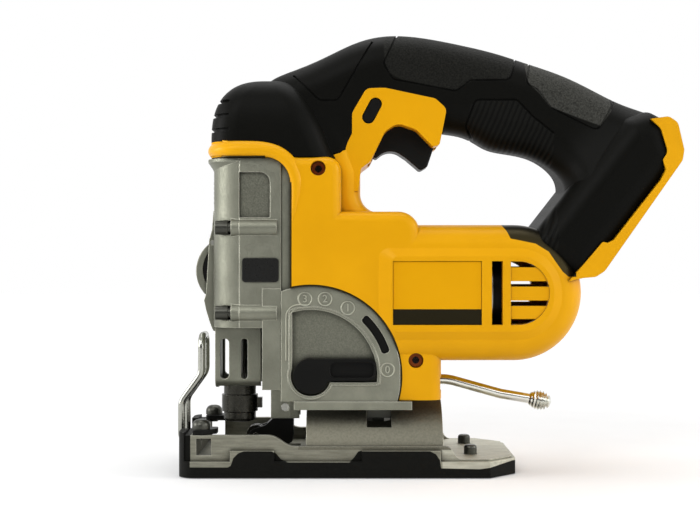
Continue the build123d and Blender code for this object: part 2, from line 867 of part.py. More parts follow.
# Field of air slots behind the panel, ending in a half round
with BuildSketch() as grille_face:
    with BuildLine():
        FilletPolyline(
            (louvre_front_x, panel_low_z), (louvre_rear_x, panel_low_z), (louvre_rear_x, panel_high_z),
            (louvre_front_x, panel_high_z), radius=[0, grille_r, grille_r, 0], close=True,
        )
    make_face()

with BuildPart() as grille_cut:
    for louvre_z in louvre_zs:
        span_box(
            (louvre_front_x, louvre_rear_x), (-through, 0),
            (louvre_z - louvre_h / 2, louvre_z + louvre_h / 2),
        )
    with BuildSketch(side_plane):
        add(grille_face.sketch)
    extrude(amount=through, mode=Mode.INTERSECT)
    with BuildSketch(Plane.XZ.offset(pad_half_w)):
        add(grille_face.sketch)
    extrude(amount=-grille_depth)

# Left half of the yellow body as one mass, then hollowed
with BuildPart() as left_mass:
    add(mass_halves)

with BuildPart() as half_housing:
    add(left_mass.part)
    add(room_half, mode=Mode.SUBTRACT)
    add(stay_halves)
    add(pocket_half, mode=Mode.SUBTRACT)
    span_box(
        (panel_front_x, panel_rear_x), (-pad_half_w - 1, panel_depth - pad_half_w),
        (panel_low_z, panel_high_z), mode=Mode.SUBTRACT,
    )
    span_box(
        (slot_front_x, slot_rear_x), (-through, 0), (panel_low_z, panel_high_z), mode=Mode.SUBTRACT,
    )
    add(grille_cut.part, mode=Mode.SUBTRACT)
    span_box(
        (skirt_rear_x - skirt_wall - 1, skirt_rear_x + 1), (-lever_slot_left, 0),
        (lever_z - lever_rod_r - lever_slot_gap, lever_z + lever_rod_r + lever_slot_gap),
        mode=Mode.SUBTRACT,
    )

with BuildPart() as left_housing:
    add(half_housing.part)
    for screw_x, screw_z in housing_screw_xz:
        y_rod(screw_x, (-pad_half_w - 1, -screw_seat_y), screw_z, screw_recess_r, mode=Mode.SUBTRACT)
        y_rod(screw_x, (-screw_seat_y, 0), screw_z, screw_shank_r + seat_gap, mode=Mode.SUBTRACT)
save(left_housing, "left_housing")

with BuildPart() as right_housing:
    mirror(half_housing.part, about=side_plane)
    for screw_x, screw_z in housing_screw_xz:
        y_rod(
            screw_x, (0, screw_shank_len - screw_seat_y + 1), screw_z, screw_shank_r + seat_gap,
            mode=Mode.SUBTRACT,
        )
save(right_housing, "right_housing")

# Grooves along the grip lines and across the nose of the cap, cut to an even depth
with BuildPart() as grip_grooves:
    for line, corner in grip_lines:
        with BuildSketch(side_plane):
            with BuildLine():
                FilletPolyline(*line, radius=corner)
            trace(line_width=groove_w)
        extrude(amount=cover_half_w)
    add(handle_form(groove_depth), mode=Mode.SUBTRACT)

with BuildPart() as cap_grooves:
    for rib_z in cap_rib_zs:
        span_box(
            (2 * case_front_x, cap_rib_rear_x), (-through, 0),
            (rib_z - cap_rib_w / 2, rib_z + cap_rib_w / 2),
        )
    add(cap_form(cap_rib_depth), mode=Mode.SUBTRACT)

with BuildPart() as left_overmould:
    add(skin_halves)
    for half in mass_halves[:-1]:
        add(half, mode=Mode.SUBTRACT)
    add(zone_half, mode=Mode.SUBTRACT)
    add(pocket_half, mode=Mode.SUBTRACT)
    add(grip_grooves.part, mode=Mode.SUBTRACT)
    add(cap_grooves.part, mode=Mode.SUBTRACT)
save(left_overmould, "left_overmould")

with BuildPart() as right_overmould:
    mirror(left_overmould.part, about=side_plane)
save(right_overmould, "right_overmould")

# Screws of the housing halves
with BuildPart() as housing_screws:
    for screw_x, screw_z in housing_screw_xz:
        y_rod(screw_x, (-screw_seat_y - screw_head_h, -screw_seat_y), screw_z, screw_head_r)
        y_rod(screw_x, (-screw_seat_y, screw_shank_len - screw_seat_y), screw_z, screw_shank_r)
        with Locations((screw_x, -screw_seat_y - screw_head_h, screw_z)):
            Box(screw_slot_len, screw_slot_depth * 2, screw_slot_w, mode=Mode.SUBTRACT)
            Box(screw_slot_w, screw_slot_depth * 2, screw_slot_len, mode=Mode.SUBTRACT)
save(housing_screws, "housing_screws")

# Bare plates let into the barrel's sides
with BuildPart() as left_plate:
    span_box(
        (panel_front_x + fit_gap, panel_rear_x - fit_gap),
        (panel_depth - plate_t - pad_half_w, panel_depth - pad_half_w),
        (panel_low_z + fit_gap, panel_high_z - fit_gap),
    )
save(left_plate, "left_plate")

with BuildPart() as right_plate:
    mirror(left_plate.part, about=side_plane)
save(right_plate, "right_plate")


# Gear case before it is cut at its two seams
with BuildPart() as gear_block:
    with BuildSketch(Plane.XY.offset(case_low_z)):
        with BuildLine():
            FilletPolyline(
                (case_front_x, -case_half_w), (case_front_x, case_half_w),
                (case_rear_x, case_half_w), (case_rear_x, -case_half_w),
                radius=[case_front_r, case_front_r, 0, 0], close=True,
            )
        make_face()
    extrude(amount=case_top_z - case_low_z)
    top_rear = gear_block.edges().filter_by(Axis.Y).group_by(Axis.X)[-1].sort_by(Axis.Z)[-1]
    fillet(top_rear, case_corner_r)
    for side in (-1, 1):
        for boss_z in (boss_low_z, boss_high_z):
            x_rod((boss_front_x, boss_rear_x), side * boss_y, boss_z, boss_r)

# Everything the gear case leaves free for the train, the plunger and the screws
with BuildPart() as case_room:
    with BuildSketch(Plane.XY.offset(cavity_low_z)):
        with BuildLine():
            FilletPolyline(
                (case_front_x + case_wall, -cavity_half_w), (case_front_x + case_wall, cavity_half_w),
                (seam_rear_x - case_wall, cavity_half_w), (seam_rear_x - case_wall, -cavity_half_w),
                radius=[case_front_r - case_wall, case_front_r - case_wall, cavity_r, cavity_r], close=True,
            )
        make_face()
    extrude(amount=cavity_high_z - cavity_low_z)
    z_rod(plunger_x, 0, (case_low_z - 1, lower_bush_low_z), collar_r + clamp_gap)
    z_rod(plunger_x, 0, (lower_bush_low_z, cavity_low_z), bush_r)
    z_rod(plunger_x, 0, (upper_bush_low_z, case_top_z), bush_r)
    z_rod(plunger_x, 0, (cavity_high_z, upper_bush_low_z), rod_r + clamp_gap)
    x_rod((seam_rear_x - case_wall, case_rear_x), 0, motor_z, shaft_hole_r)
    x_rod((seam_rear_x - case_wall, seam_rear_x), 0, gear_z, axle_r)
    for side in (-1, 1):
        for boss_z in (boss_low_z, boss_high_z):
            screw_end_x = boss_front_x + case_screw_len + 1
            x_rod((case_front_x, boss_front_x), side * boss_y, boss_z, case_screw_head_r + seat_gap)
            x_rod((boss_front_x, screw_end_x), side * boss_y, boss_z, case_screw_shank_r + seat_gap)
        with BuildSketch(Plane.XZ.offset(side * case_half_w)):
            with BuildLine():
                FilletPolyline(
                    (seam_front_x, side_pocket_low_z), (side_pocket_rear_x, side_pocket_low_z),
                    (side_pocket_rear_x, side_pocket_high_z), (seam_front_x, side_pocket_high_z),
                    radius=[0, cavity_r, side_pocket_r, 0], close=True,
                )
            make_face()
        extrude(amount=-side * side_pocket_depth)

# Shroud round the blade clamp, before it is hollowed
with BuildPart() as shroud_shell:
    span_box((shroud_front_x, shroud_rear_x), (-shroud_half_w, shroud_half_w), (shroud_low_z, shroud_top_z))
    fillet(shroud_shell.edges().filter_by(Axis.X).group_by(Axis.Z)[0], shroud_edge_r)

# Front cover with the top lip, the nose of the blade release and the clamp's shroud
with BuildPart() as front_cover:
    add(gear_block.part)
    with BuildSketch(Plane.XY.offset(lip_edge_z)) as lip_face:
        with BuildLine():
            FilletPolyline(
                (lip_front_x, -case_half_w), (lip_front_x, case_half_w),
                (seam_front_x, case_half_w), (seam_front_x, -case_half_w),
                radius=[case_front_r, case_front_r, 0, 0], close=True,
            )
        make_face()
    extrude(amount=case_top_z - lip_edge_z)
    extrude(lip_face.sketch, amount=lip_low_z - lip_edge_z, taper=lip_taper)
    with BuildSketch(side_plane):
        with BuildLine():
            FilletPolyline(*nose_outline, radius=nose_r, close=True)
        make_face()
    extrude(amount=nose_half_w, both=True)
    for rib_z in front_rib_zs:
        span_box(
            (case_front_x - front_rib_proud, case_front_x + 1), (-front_rib_half_w, front_rib_half_w),
            (rib_z - front_rib_w / 2, rib_z + front_rib_w / 2),
        )
    span_box(
        (2 * case_front_x, case_front_x), (-release_half_w - moving_gap, release_half_w + moving_gap),
        (release_room_low_z, release_room_high_z), mode=Mode.SUBTRACT,
    )
    y_rod(
        release_x, (-release_half_w - moving_gap, release_half_w + moving_gap), release_z,
        release_eye_r + moving_gap, mode=Mode.SUBTRACT,
    )
    y_rod(release_x, (-nose_half_w, nose_half_w), release_z, release_pin_r, mode=Mode.SUBTRACT)
    span_box((seam_front_x, 0), (-through, through), (0, 2 * case_top_z), mode=Mode.SUBTRACT)
    add(shroud_shell.part)
    span_box(
        (shroud_front_x, seam_front_x), (-shroud_half_w, shroud_half_w),
        (shroud_top_z - 1, case_low_z + shroud_root_h),
    )
    span_box(
        (shroud_front_x + shroud_front_wall, shroud_rear_x + 1),
        (-shroud_half_w + shroud_wall, shroud_half_w - shroud_wall), (shroud_low_z - 1, case_low_z),
        mode=Mode.SUBTRACT,
    )
    for slot_x, slot_w in shroud_slots:
        with BuildSketch(side_plane):
            with Locations(Location((slot_x, (shroud_slot_low_z + shroud_slot_high_z) / 2, 0), (0, 0, 90))):
                SlotOverall(shroud_slot_high_z - shroud_slot_low_z, slot_w)
        extrude(amount=through, both=True, mode=Mode.SUBTRACT)
    add(case_room.part, mode=Mode.SUBTRACT)
save(front_cover, "front_cover")

# Middle case with the column down to the fork
with BuildPart() as mid_case:
    add(gear_block.part)
    span_box((2 * case_front_x, seam_front_x), (-through, through), (0, 2 * case_top_z), mode=Mode.SUBTRACT)
    span_box((seam_rear_x, 0), (-through, through), (0, 2 * case_top_z), mode=Mode.SUBTRACT)
    span_box(
        (column_front_x, seam_rear_x), (-case_half_w - column_proud, case_half_w + column_proud),
        (column_low_z, column_high_z),
    )
    x_rod((column_front_x - 1, seam_rear_x + 1), 0, bevel_z, arch_r, mode=Mode.SUBTRACT)
    add(case_room.part, mode=Mode.SUBTRACT)
save(mid_case, "mid_case")

# Selector's recess with the bead round it
with BuildSketch() as selector_recess:
    with Locations((hub_x, hub_z)):
        Circle(recess_r)
    with Locations((recess_left_x + recess_r, hub_z - recess_drop + recess_r)):
        Rectangle(2 * recess_r, 2 * recess_r, mode=Mode.INTERSECT)
    with Locations((hub_x, hub_z)):
        Circle(hub_recess_r)

with BuildSketch() as recess_bead:
    add(selector_recess.sketch)
    offset(amount=bead_gap + bead_w)
    offset(selector_recess.sketch, amount=bead_gap, mode=Mode.SUBTRACT)


def vent_face(inset):
    """Curved air vent of the sector in the side view, drawn in by the inset."""
    mid = (vent_start + vent_end) / 2
    outer_arc = [hub_point(vent_r_out - inset, turn) for turn in (vent_start, mid, vent_end)]
    inner_arc = [hub_point(vent_r_in + inset, turn) for turn in (vent_end, mid, vent_start)]
    with BuildSketch() as face:
        with BuildLine():
            ThreePointArc(*outer_arc)
            Line(outer_arc[-1], inner_arc[0])
            ThreePointArc(*inner_arc)
            Line(inner_arc[-1], outer_arc[0])
        make_face()
        fillet(face.vertices(), vent_end_r)
    return face.sketch


# Rear case: bulkhead, orbit sector, foot block, fork holder and bearing boss
with BuildPart() as rear_case:
    add(gear_block.part)
    span_box((2 * case_front_x, seam_rear_x), (-through, through), (0, 2 * case_top_z), mode=Mode.SUBTRACT)
    with Locations(*[(seam_rear_x, side * case_half_w, case_top_z) for side in (-1, 1)]):
        Box(through, 2 * seam_step, 2 * case_top_z, mode=Mode.SUBTRACT)
    with BuildSketch(side_plane):
        with Locations((hub_x, hub_z)):
            Circle(sector_r)
        with Locations(((seam_rear_x + sector_rear_x) / 2 + 1, sector_low_z + through / 2)):
            Rectangle(sector_rear_x - seam_rear_x + 2, through, mode=Mode.INTERSECT)
    extrude(amount=sector_half_w, both=True)
    span_box(
        (foot_flange_front_x, foot_flange_rear_x), (-foot_flange_half_w, foot_flange_half_w),
        (foot_flange_low_z, sector_low_z),
    )
    x_rod((seam_rear_x - 1, 0), 0, bevel_z, arch_r, mode=Mode.SUBTRACT)
    span_box(
        (saddle_front_x, foot_block_rear_x), (-foot_block_half_w, foot_block_half_w),
        (bevel_z + saddle_r / 2, floor_top_z),
    )
    x_rod((saddle_front_x, 0), 0, bevel_z, saddle_r + moving_gap - seat_gap, mode=Mode.SUBTRACT)
    span_box(
        (case_rear_x + sector_wall, sector_rear_x - sector_wall),
        (-sector_half_w + cheek_t, sector_half_w - cheek_t), (floor_top_z, case_top_z), mode=Mode.SUBTRACT,
    )
    x_rod((motor_relief_x, 0), 0, motor_z, can_r + motor_relief, mode=Mode.SUBTRACT)
    span_box(
        (hub_pocket_front_x, 0), (-sector_half_w + cheek_t, sector_half_w - cheek_t),
        (hub_low_z, motor_z), mode=Mode.SUBTRACT,
    )
    x_rod((case_rear_x, bearing_boss_x), 0, motor_z, bearing_boss_r)
    span_box(
        (seam_rear_x, fork_holder_rear_x), (-fork_holder_half_w, fork_holder_half_w),
        (fork_holder_high_z - 1, fork_web_high_z),
    )
    span_box(
        (fork_holder_front_x, fork_holder_rear_x), (-fork_holder_half_w, fork_holder_half_w),
        (fork_holder_low_z, fork_holder_high_z),
    )
    span_box(
        (fork_holder_front_x - 1, fork_holder_rear_x + 1),
        (-fork_half_w - moving_gap, fork_half_w + moving_gap),
        (fork_holder_low_z - 1, fork_room_z), mode=Mode.SUBTRACT,
    )
    y_rod(
        fork_pivot_x, (-fork_holder_half_w, fork_holder_half_w), fork_pivot_z, fork_pin_r, mode=Mode.SUBTRACT,
    )
    x_rod((seam_rear_x, bearing_boss_x), 0, motor_z, shaft_hole_r, mode=Mode.SUBTRACT)
    x_rod(
        (front_bearing_x - bearing_w / 2, bearing_boss_x), 0, motor_z, bearing_r, mode=Mode.SUBTRACT,
    )
    z_rod(clamp_x, 0, (bevel_z, floor_top_z), bolt_r + seat_gap, mode=Mode.SUBTRACT)
    with BuildSketch(Plane.XZ.offset(sector_half_w)):
        add(selector_recess.sketch)
    extrude(amount=-selector_recess_depth, mode=Mode.SUBTRACT)
    with BuildSketch(Plane.XZ.offset(sector_half_w)):
        add(recess_bead.sketch)
    extrude(amount=bead_h)
    with BuildSketch(Plane.XZ.offset(sector_half_w)):
        add(vent_face(0))
    extrude(amount=-vent_depth, mode=Mode.SUBTRACT)
    y_rod(
        hub_x, (-sector_half_w, selector_shaft_end_y + fit_gap), hub_z, selector_shaft_r + running_gap,
        mode=Mode.SUBTRACT,
    )
save(rear_case, "rear_case")

with BuildPart() as vent_insert:
    with BuildSketch(Plane.XZ.offset(sector_half_w - vent_depth)):
        add(vent_face(fit_gap))
    extrude(amount=vent_insert_t)
save(vent_insert, "vent_insert")

# Gear case screws
with BuildPart() as case_screws:
    for side in (-1, 1):
        for boss_z in (boss_low_z, boss_high_z):
            neck_x = boss_front_x - case_screw_neck
            head_x = neck_x - case_screw_head_h
            x_rod((head_x, neck_x), side * boss_y, boss_z, case_screw_head_r)
            x_rod((neck_x, boss_front_x), side * boss_y, boss_z, case_screw_neck_r)
            x_rod((boss_front_x, boss_front_x + case_screw_len), side * boss_y, boss_z, case_screw_shank_r)
            x_rod(
                (head_x, head_x + case_screw_socket), side * boss_y, boss_z, case_screw_shank_r,
                mode=Mode.SUBTRACT,
            )
save(case_screws, "case_screws")

# Bare badge on the left of the middle case
with BuildPart() as case_badge:
    span_box(
        (badge_front_x, badge_rear_x), (-case_half_w - badge_t, -case_half_w), (badge_low_z, badge_high_z),
    )
    fillet(case_badge.edges().filter_by(Axis.Y), badge_r)
save(case_badge, "case_badge")

# Plunger bushes
with BuildPart() as lower_bush:
    z_rod(plunger_x, 0, (lower_bush_low_z, lower_bush_high_z), bush_r)
    z_rod(plunger_x, 0, (lower_bush_low_z, lower_bush_high_z), rod_r + running_gap, mode=Mode.SUBTRACT)
save(lower_bush, "lower_bush")

with BuildPart() as upper_bush:
    z_rod(plunger_x, 0, (upper_bush_low_z, case_top_z), bush_r)
    z_rod(plunger_x, 0, (upper_bush_low_z, case_top_z), rod_r + running_gap, mode=Mode.SUBTRACT)
save(upper_bush, "upper_bush")

# Plunger rod, yoke with its cross slot, blade clamp and turning collar
with BuildPart() as plunger_rod:
    z_rod(plunger_x, 0, (rod_low_z, rod_top_z), rod_r)
    chamfer(plunger_rod.edges().sort_by(Axis.Z)[-1], rod_chamfer)
save(plunger_rod, "plunger_rod")

with BuildPart() as yoke:
    span_box(
        (yoke_front_x, yoke_front_x + yoke_t), (-yoke_half_w, yoke_half_w),
        (yoke_z - yoke_h / 2, yoke_z + yoke_h / 2),
    )
    fillet(yoke.edges().filter_by(Axis.X), yoke_corner_r)
    z_rod(plunger_x, 0, (yoke_z - sleeve_h / 2, yoke_z + sleeve_h / 2), sleeve_r)
    span_box(
        (plunger_x, yoke_front_x + yoke_t + 1), (-yoke_slot_half, yoke_slot_half),
        (yoke_z - crank_pin_r - running_gap, yoke_z + crank_pin_r + running_gap), mode=Mode.SUBTRACT,
    )
    z_rod(plunger_x, 0, (yoke_z - yoke_h, yoke_z + yoke_h), rod_r, mode=Mode.SUBTRACT)
save(yoke, "yoke")

with BuildPart() as blade_clamp:
    z_rod(plunger_x, 0, (clamp_low_z, clamp_high_z), clamp_r)
    fillet(blade_clamp.edges().filter_by(GeomType.CIRCLE), clamp_edge_r)
    z_rod(plunger_x, 0, (rod_low_z, clamp_high_z), rod_r, mode=Mode.SUBTRACT)
    z_rod(plunger_x, 0, (collar_low_z, collar_high_z), clamp_r, mode=Mode.SUBTRACT)
    z_rod(plunger_x, 0, (collar_low_z - 1, collar_high_z + 1), clamp_neck_r)
    span_box(
        (plunger_x - blade_slot_len / 2, plunger_x + blade_slot_len / 2),
        (-blade_slot_w / 2, blade_slot_w / 2), (clamp_low_z - 1, clamp_low_z + blade_slot_depth),
        mode=Mode.SUBTRACT,
    )
save(blade_clamp, "blade_clamp")

with BuildPart() as clamp_collar:
    z_rod(plunger_x, 0, (collar_low_z + moving_gap, collar_high_z - moving_gap), collar_r)
    span_box(
        (plunger_x, plunger_x + collar_r + collar_tab_len), (-collar_tab_w / 2, collar_tab_w / 2),
        (collar_low_z + collar_tab_inset, collar_high_z - collar_tab_inset),
    )
    z_rod(plunger_x, 0, (collar_low_z, collar_high_z), clamp_neck_r + running_gap, mode=Mode.SUBTRACT)
save(clamp_collar, "clamp_collar")


def involute(angle):
    """Involute function of a pressure angle."""
    return tan(angle) - angle


def tooth_points(teeth, tip_r, root_r):
    """Points up one flank of a tooth that stands along the first axis."""
    pitch_r = gear_module * teeth / 2
    base_r = pitch_r * cos(pressure_angle)
    half_turn = (pi * gear_module / 2 - backlash / 2) / (2 * pitch_r) + involute(pressure_angle)
    low_r = max(base_r, root_r)
    points = []
    for r in (low_r, (low_r + tip_r) / 2, tip_r):
        turn = half_turn - involute(acos(min(1, base_r / r)))
        points.append((r * cos(turn), r * sin(turn)))
    return points


def gear_face(teeth, addendum, start_angle):
    """Face of a spur gear with one tooth at the start angle."""
    pitch_r = gear_module * teeth / 2
    root_r = pitch_r - dedendum
    flank = tooth_points(teeth, pitch_r + addendum, root_r)
    back = [(x, -y) for x, y in reversed(flank)]
    with BuildSketch() as tooth:
        with BuildLine():
            ThreePointArc(*flank)
            Line(flank[-1], back[0])
            ThreePointArc(*back)
            Polyline(
                back[-1], (root_r - tooth_root, back[-1][1]), (root_r - tooth_root, flank[0][1]), flank[0],
            )
        make_face()
    with BuildSketch() as face:
        Circle(root_r)
        with PolarLocations(0, teeth, start_angle=start_angle):
            add(tooth.sketch)
    return face.sketch


pinion_face = gear_face(pinion_teeth, pinion_addendum, 90)
drive_face = gear_face(gear_teeth, gear_addendum, -90 + 180 / gear_teeth)

# Drive gear with its crank pin and axle
with BuildPart() as drive_gear:
    with BuildSketch(Plane.YZ.offset(gear_front_x)):
        with Locations((0, gear_z)):
            add(drive_face)
    extrude(amount=gear_rear_x - gear_front_x)
    for web_x in ((gear_front_x, gear_front_x + web_recess), (gear_rear_x - web_recess, gear_rear_x)):
        x_rod(web_x, 0, gear_z, gear_pitch_r - web_t, mode=Mode.SUBTRACT)
        x_rod(web_x, 0, gear_z, axle_r + web_t)
        x_rod(web_x, 0, gear_z - crank_r, crank_pin_r + crank_boss_wall)
    x_rod((gear_front_x, gear_rear_x), 0, gear_z, axle_r + running_gap, mode=Mode.SUBTRACT)
    x_rod((gear_front_x, gear_rear_x), 0, gear_z - crank_r, crank_pin_r, mode=Mode.SUBTRACT)
save(drive_gear, "drive_gear")

with BuildPart() as crank_pin:
    x_rod((yoke_front_x + yoke_t + moving_gap, gear_rear_x), 0, gear_z - crank_r, crank_pin_r)
save(crank_pin, "crank_pin")

with BuildPart() as gear_axle:
    x_rod((gear_front_x - seat_gap, seam_rear_x), 0, gear_z, axle_r)
    x_rod((gear_front_x - axle_flange_t, gear_front_x - seat_gap), 0, gear_z, axle_r + axle_flange_w)
    x_rod((gear_rear_x + seat_gap, seam_rear_x - case_wall), 0, gear_z, axle_r + axle_flange_w)
save(gear_axle, "gear_axle")

# Motor: turning parts on the shaft
with BuildPart() as motor_shaft:
    x_rod((gear_front_x - shaft_overhang, shaft_rear_x), 0, motor_z, shaft_r)
save(motor_shaft, "motor_shaft")

with BuildPart() as pinion:
    with BuildSketch(Plane.YZ.offset(gear_front_x)):
        with Locations((0, motor_z)):
            add(pinion_face)
            Circle(shaft_r, mode=Mode.SUBTRACT)
    extrude(amount=gear_rear_x - gear_front_x)
save(pinion, "pinion")

with BuildPart() as armature_core:
    with BuildSketch(Plane.YZ.offset(core_front_x)):
        with Locations((0, motor_z)):
            Circle(core_r)
            with PolarLocations(core_r - core_slot_depth / 2, core_slots):
                SlotOverall(core_slot_depth, core_slot_w, mode=Mode.SUBTRACT)
            with PolarLocations(core_r, core_slots):
                Rectangle(core_slot_depth / 2, core_mouth_w, mode=Mode.SUBTRACT)
            Circle(shaft_r, mode=Mode.SUBTRACT)
    extrude(amount=core_rear_x - core_front_x)
save(armature_core, "armature_core")

with BuildPart() as commutator:
    x_rod((commutator_front_x, commutator_rear_x), 0, motor_z, commutator_r)
    x_rod((core_rear_x, commutator_front_x), 0, motor_z, commutator_neck_r)
    x_rod((core_rear_x, commutator_rear_x), 0, motor_z, shaft_r, mode=Mode.SUBTRACT)
save(commutator, "commutator")

with BuildPart() as fan:
    x_rod((fan_rear_x - fan_disc_t, fan_rear_x), 0, motor_z, fan_r)
    x_rod((fan_front_x, fan_rear_x), 0, motor_z, fan_hub_r)
    with BuildSketch(Plane.YZ.offset(fan_front_x)):
        with Locations((0, motor_z)):
            with PolarLocations((fan_r + fan_hub_r) / 2 - fan_root, fan_blades):
                Rectangle(fan_r - fan_hub_r, fan_blade_t)
    extrude(amount=fan_rear_x - fan_front_x)
    x_rod((fan_front_x, fan_rear_x), 0, motor_z, shaft_r, mode=Mode.SUBTRACT)
save(fan, "fan")

# Motor: fixed parts
with BuildPart() as motor_can:
    x_rod((can_front_x, can_rear_x), 0, motor_z, can_r)
    x_rod((can_front_x + can_t, can_rear_x), 0, motor_z, can_r - can_t, mode=Mode.SUBTRACT)
    x_rod((can_front_x, can_front_x + can_t), 0, motor_z, can_front_hole_r, mode=Mode.SUBTRACT)
save(motor_can, "motor_can")

with BuildPart() as end_bell:
    x_rod((can_rear_x, bell_rear_x), 0, motor_z, can_r)
    x_rod((can_rear_x - bell_spigot, can_rear_x), 0, motor_z, can_r - can_t)
    x_rod((can_rear_x - bell_spigot, bell_floor_x), 0, motor_z, can_r - 2 * can_t, mode=Mode.SUBTRACT)
    for side in (-1, 1):
        with Locations((brush_x, side * (brush_y + brush_holder_back), motor_z)):
            Box(
                bell_floor_x - brush_front_x, brush_out_y - brush_in_y - 2 * brush_holder_back,
                brush_w + 2 * brush_wall,
            )
    for side in (-1, 1):
        with Locations((brush_x, side * brush_y, motor_z)):
            Box(brush_l, brush_out_y - brush_in_y + can_t, brush_w, mode=Mode.SUBTRACT)
    x_rod((bell_floor_x, bell_floor_x + 1), 0, motor_z, commutator_r, mode=Mode.SUBTRACT)
    x_rod((rear_bearing_x, rear_bearing_x + bearing_w), 0, motor_z, bearing_r, mode=Mode.SUBTRACT)
    x_rod(
        (bell_floor_x, bell_rear_x - bell_end_skin), 0, motor_z, shaft_r + bell_shaft_room,
        mode=Mode.SUBTRACT,
    )
save(end_bell, "end_bell")

with BuildPart() as brushes:
    for side in (-1, 1):
        with Locations((brush_x, side * brush_y, motor_z)):
            Box(brush_l, brush_out_y - brush_in_y, brush_w)
    x_rod((core_rear_x, can_rear_x), 0, motor_z, commutator_r + running_gap, mode=Mode.SUBTRACT)
save(brushes, "brushes")

with BuildPart() as front_bearing:
    x_rod((front_bearing_x - bearing_w / 2, front_bearing_x + bearing_w / 2), 0, motor_z, bearing_r)
    x_rod((seam_rear_x, 0), 0, motor_z, shaft_r + running_gap, mode=Mode.SUBTRACT)
save(front_bearing, "front_bearing")

with BuildPart() as rear_bearing:
    x_rod((rear_bearing_x, rear_bearing_x + bearing_w), 0, motor_z, bearing_r)
    x_rod((0, 2 * rear_bearing_x), 0, motor_z, shaft_r + running_gap, mode=Mode.SUBTRACT)
save(rear_bearing, "rear_bearing")

# Orbit selector on its shaft
with BuildPart() as orbit_selector:
    with BuildSketch(Plane.XZ.offset(sector_half_w - selector_recess_depth + moving_gap)):
        with BuildLine():
            FilletPolyline(
                (hub_x, hub_z + selector_arm_low), (hub_x + selector_reach, hub_z + selector_arm_low),
                (hub_x + selector_reach, hub_z + selector_arm_high), (hub_x, hub_z + selector_arm_high),
                radius=[0, selector_end_r, selector_end_r, 0], close=True,
            )
        make_face()
        with Locations((hub_x, hub_z)):
            Circle(selector_hub_r)
    extrude(amount=selector_t)
    with BuildSketch(Plane.XZ.offset(sector_half_w + selector_t)):
        arm_mid_z = hub_z + (selector_arm_low + selector_arm_high) / 2
        with Locations((hub_x + (selector_hub_r + selector_reach) / 2, arm_mid_z)):
            RectangleRounded(
                selector_reach - selector_hub_r - selector_rim,
                selector_arm_high - selector_arm_low - 2 * selector_rim, selector_end_r - selector_rim,
            )
    extrude(amount=-selector_t - selector_pocket_depth, mode=Mode.SUBTRACT)
    y_rod(hub_x, (-sector_half_w, selector_back_y + selector_shaft_in - selector_t), hub_z, selector_dot_r,
          mode=Mode.SUBTRACT)
    y_rod(hub_x, (selector_back_y - selector_shaft_in, 0), hub_z, selector_shaft_r, mode=Mode.SUBTRACT)
save(orbit_selector, "orbit_selector")

with BuildPart() as selector_shaft:
    y_rod(hub_x, (selector_back_y - selector_shaft_in, selector_shaft_end_y), hub_z, selector_shaft_r)
save(selector_shaft, "selector_shaft")

# Orbit fork with its pin and roller
with BuildPart() as orbit_fork:
    with BuildSketch(side_plane):
        with BuildLine():
            FilletPolyline(*fork_outline, radius=fork_radii, close=True)
        make_face()
    extrude(amount=fork_half_w, both=True)
    span_box(
        (2 * roller_x, roller_x + roller_r + moving_gap),
        (-roller_half_w - moving_gap, roller_half_w + moving_gap), (0, roller_z + 2 * roller_r),
        mode=Mode.SUBTRACT,
    )
    y_rod(roller_x, (-through, through), roller_z, roller_pin_r, mode=Mode.SUBTRACT)
    y_rod(fork_pivot_x, (-through, through), fork_pivot_z, fork_pin_r + running_gap, mode=Mode.SUBTRACT)
save(orbit_fork, "orbit_fork")

with BuildPart() as fork_pin:
    y_rod(fork_pivot_x, (-fork_holder_half_w, fork_holder_half_w), fork_pivot_z, fork_pin_r)
save(fork_pin, "fork_pin")

with BuildPart() as guide_roller:
    with BuildSketch(Plane.XY.offset(roller_z)):
        with BuildLine():
            Polyline(
                (roller_x, -roller_half_w), (roller_x + roller_r, -roller_half_w),
                (roller_x + roller_r, -roller_land), (roller_x + roller_groove_r, 0),
                (roller_x + roller_r, roller_land), (roller_x + roller_r, roller_half_w),
                (roller_x, roller_half_w), close=True,
            )
        make_face()
    revolve(axis=Axis((roller_x, 0, roller_z), (0, 1, 0)))
    y_rod(roller_x, (-roller_half_w, roller_half_w), roller_z, roller_pin_r + running_gap, mode=Mode.SUBTRACT)
save(guide_roller, "guide_roller")

with BuildPart() as roller_pin:
    y_rod(roller_x, (-fork_half_w, fork_half_w), roller_z, roller_pin_r)
save(roller_pin, "roller_pin")

# Blade release lever in the nose, with dark pads let into its sides
with BuildSketch() as release_pad_face:
    with BuildLine():
        ThreePointArc(*release_pad_arc)
        Line(release_pad_arc[-1], release_pad_arc[0])
    make_face()

with BuildPart() as release_lever:
    with BuildSketch(side_plane):
        with BuildLine():
            ThreePointArc(*release_front)
            Polyline(
                release_front[-1], (release_back_x, release_front[-1][1]),
                (release_back_x, release_back_high_z), release_front[0],
            )
        make_face()
        with Locations((release_x, release_z)):
            Circle(release_eye_r)
            Circle(release_pin_r + running_gap, mode=Mode.SUBTRACT)
    extrude(amount=release_half_w, both=True)
    for side in (-1, 1):
        with BuildSketch(Plane.XZ.offset(side * release_half_w)):
            add(release_pad_face.sketch)
        extrude(amount=-side * release_pad_depth, mode=Mode.SUBTRACT)
save(release_lever, "release_lever")

with BuildPart() as release_pads:
    for side in (-1, 1):
        with BuildSketch(Plane.XZ.offset(side * (release_half_w - release_pad_depth))):
            add(release_pad_face.sketch)
        extrude(amount=side * release_pad_t)
save(release_pads, "release_pads")

with BuildPart() as release_pin:
    y_rod(release_x, (-nose_half_w, nose_half_w), release_z, release_pin_r)
save(release_pin, "release_pin")

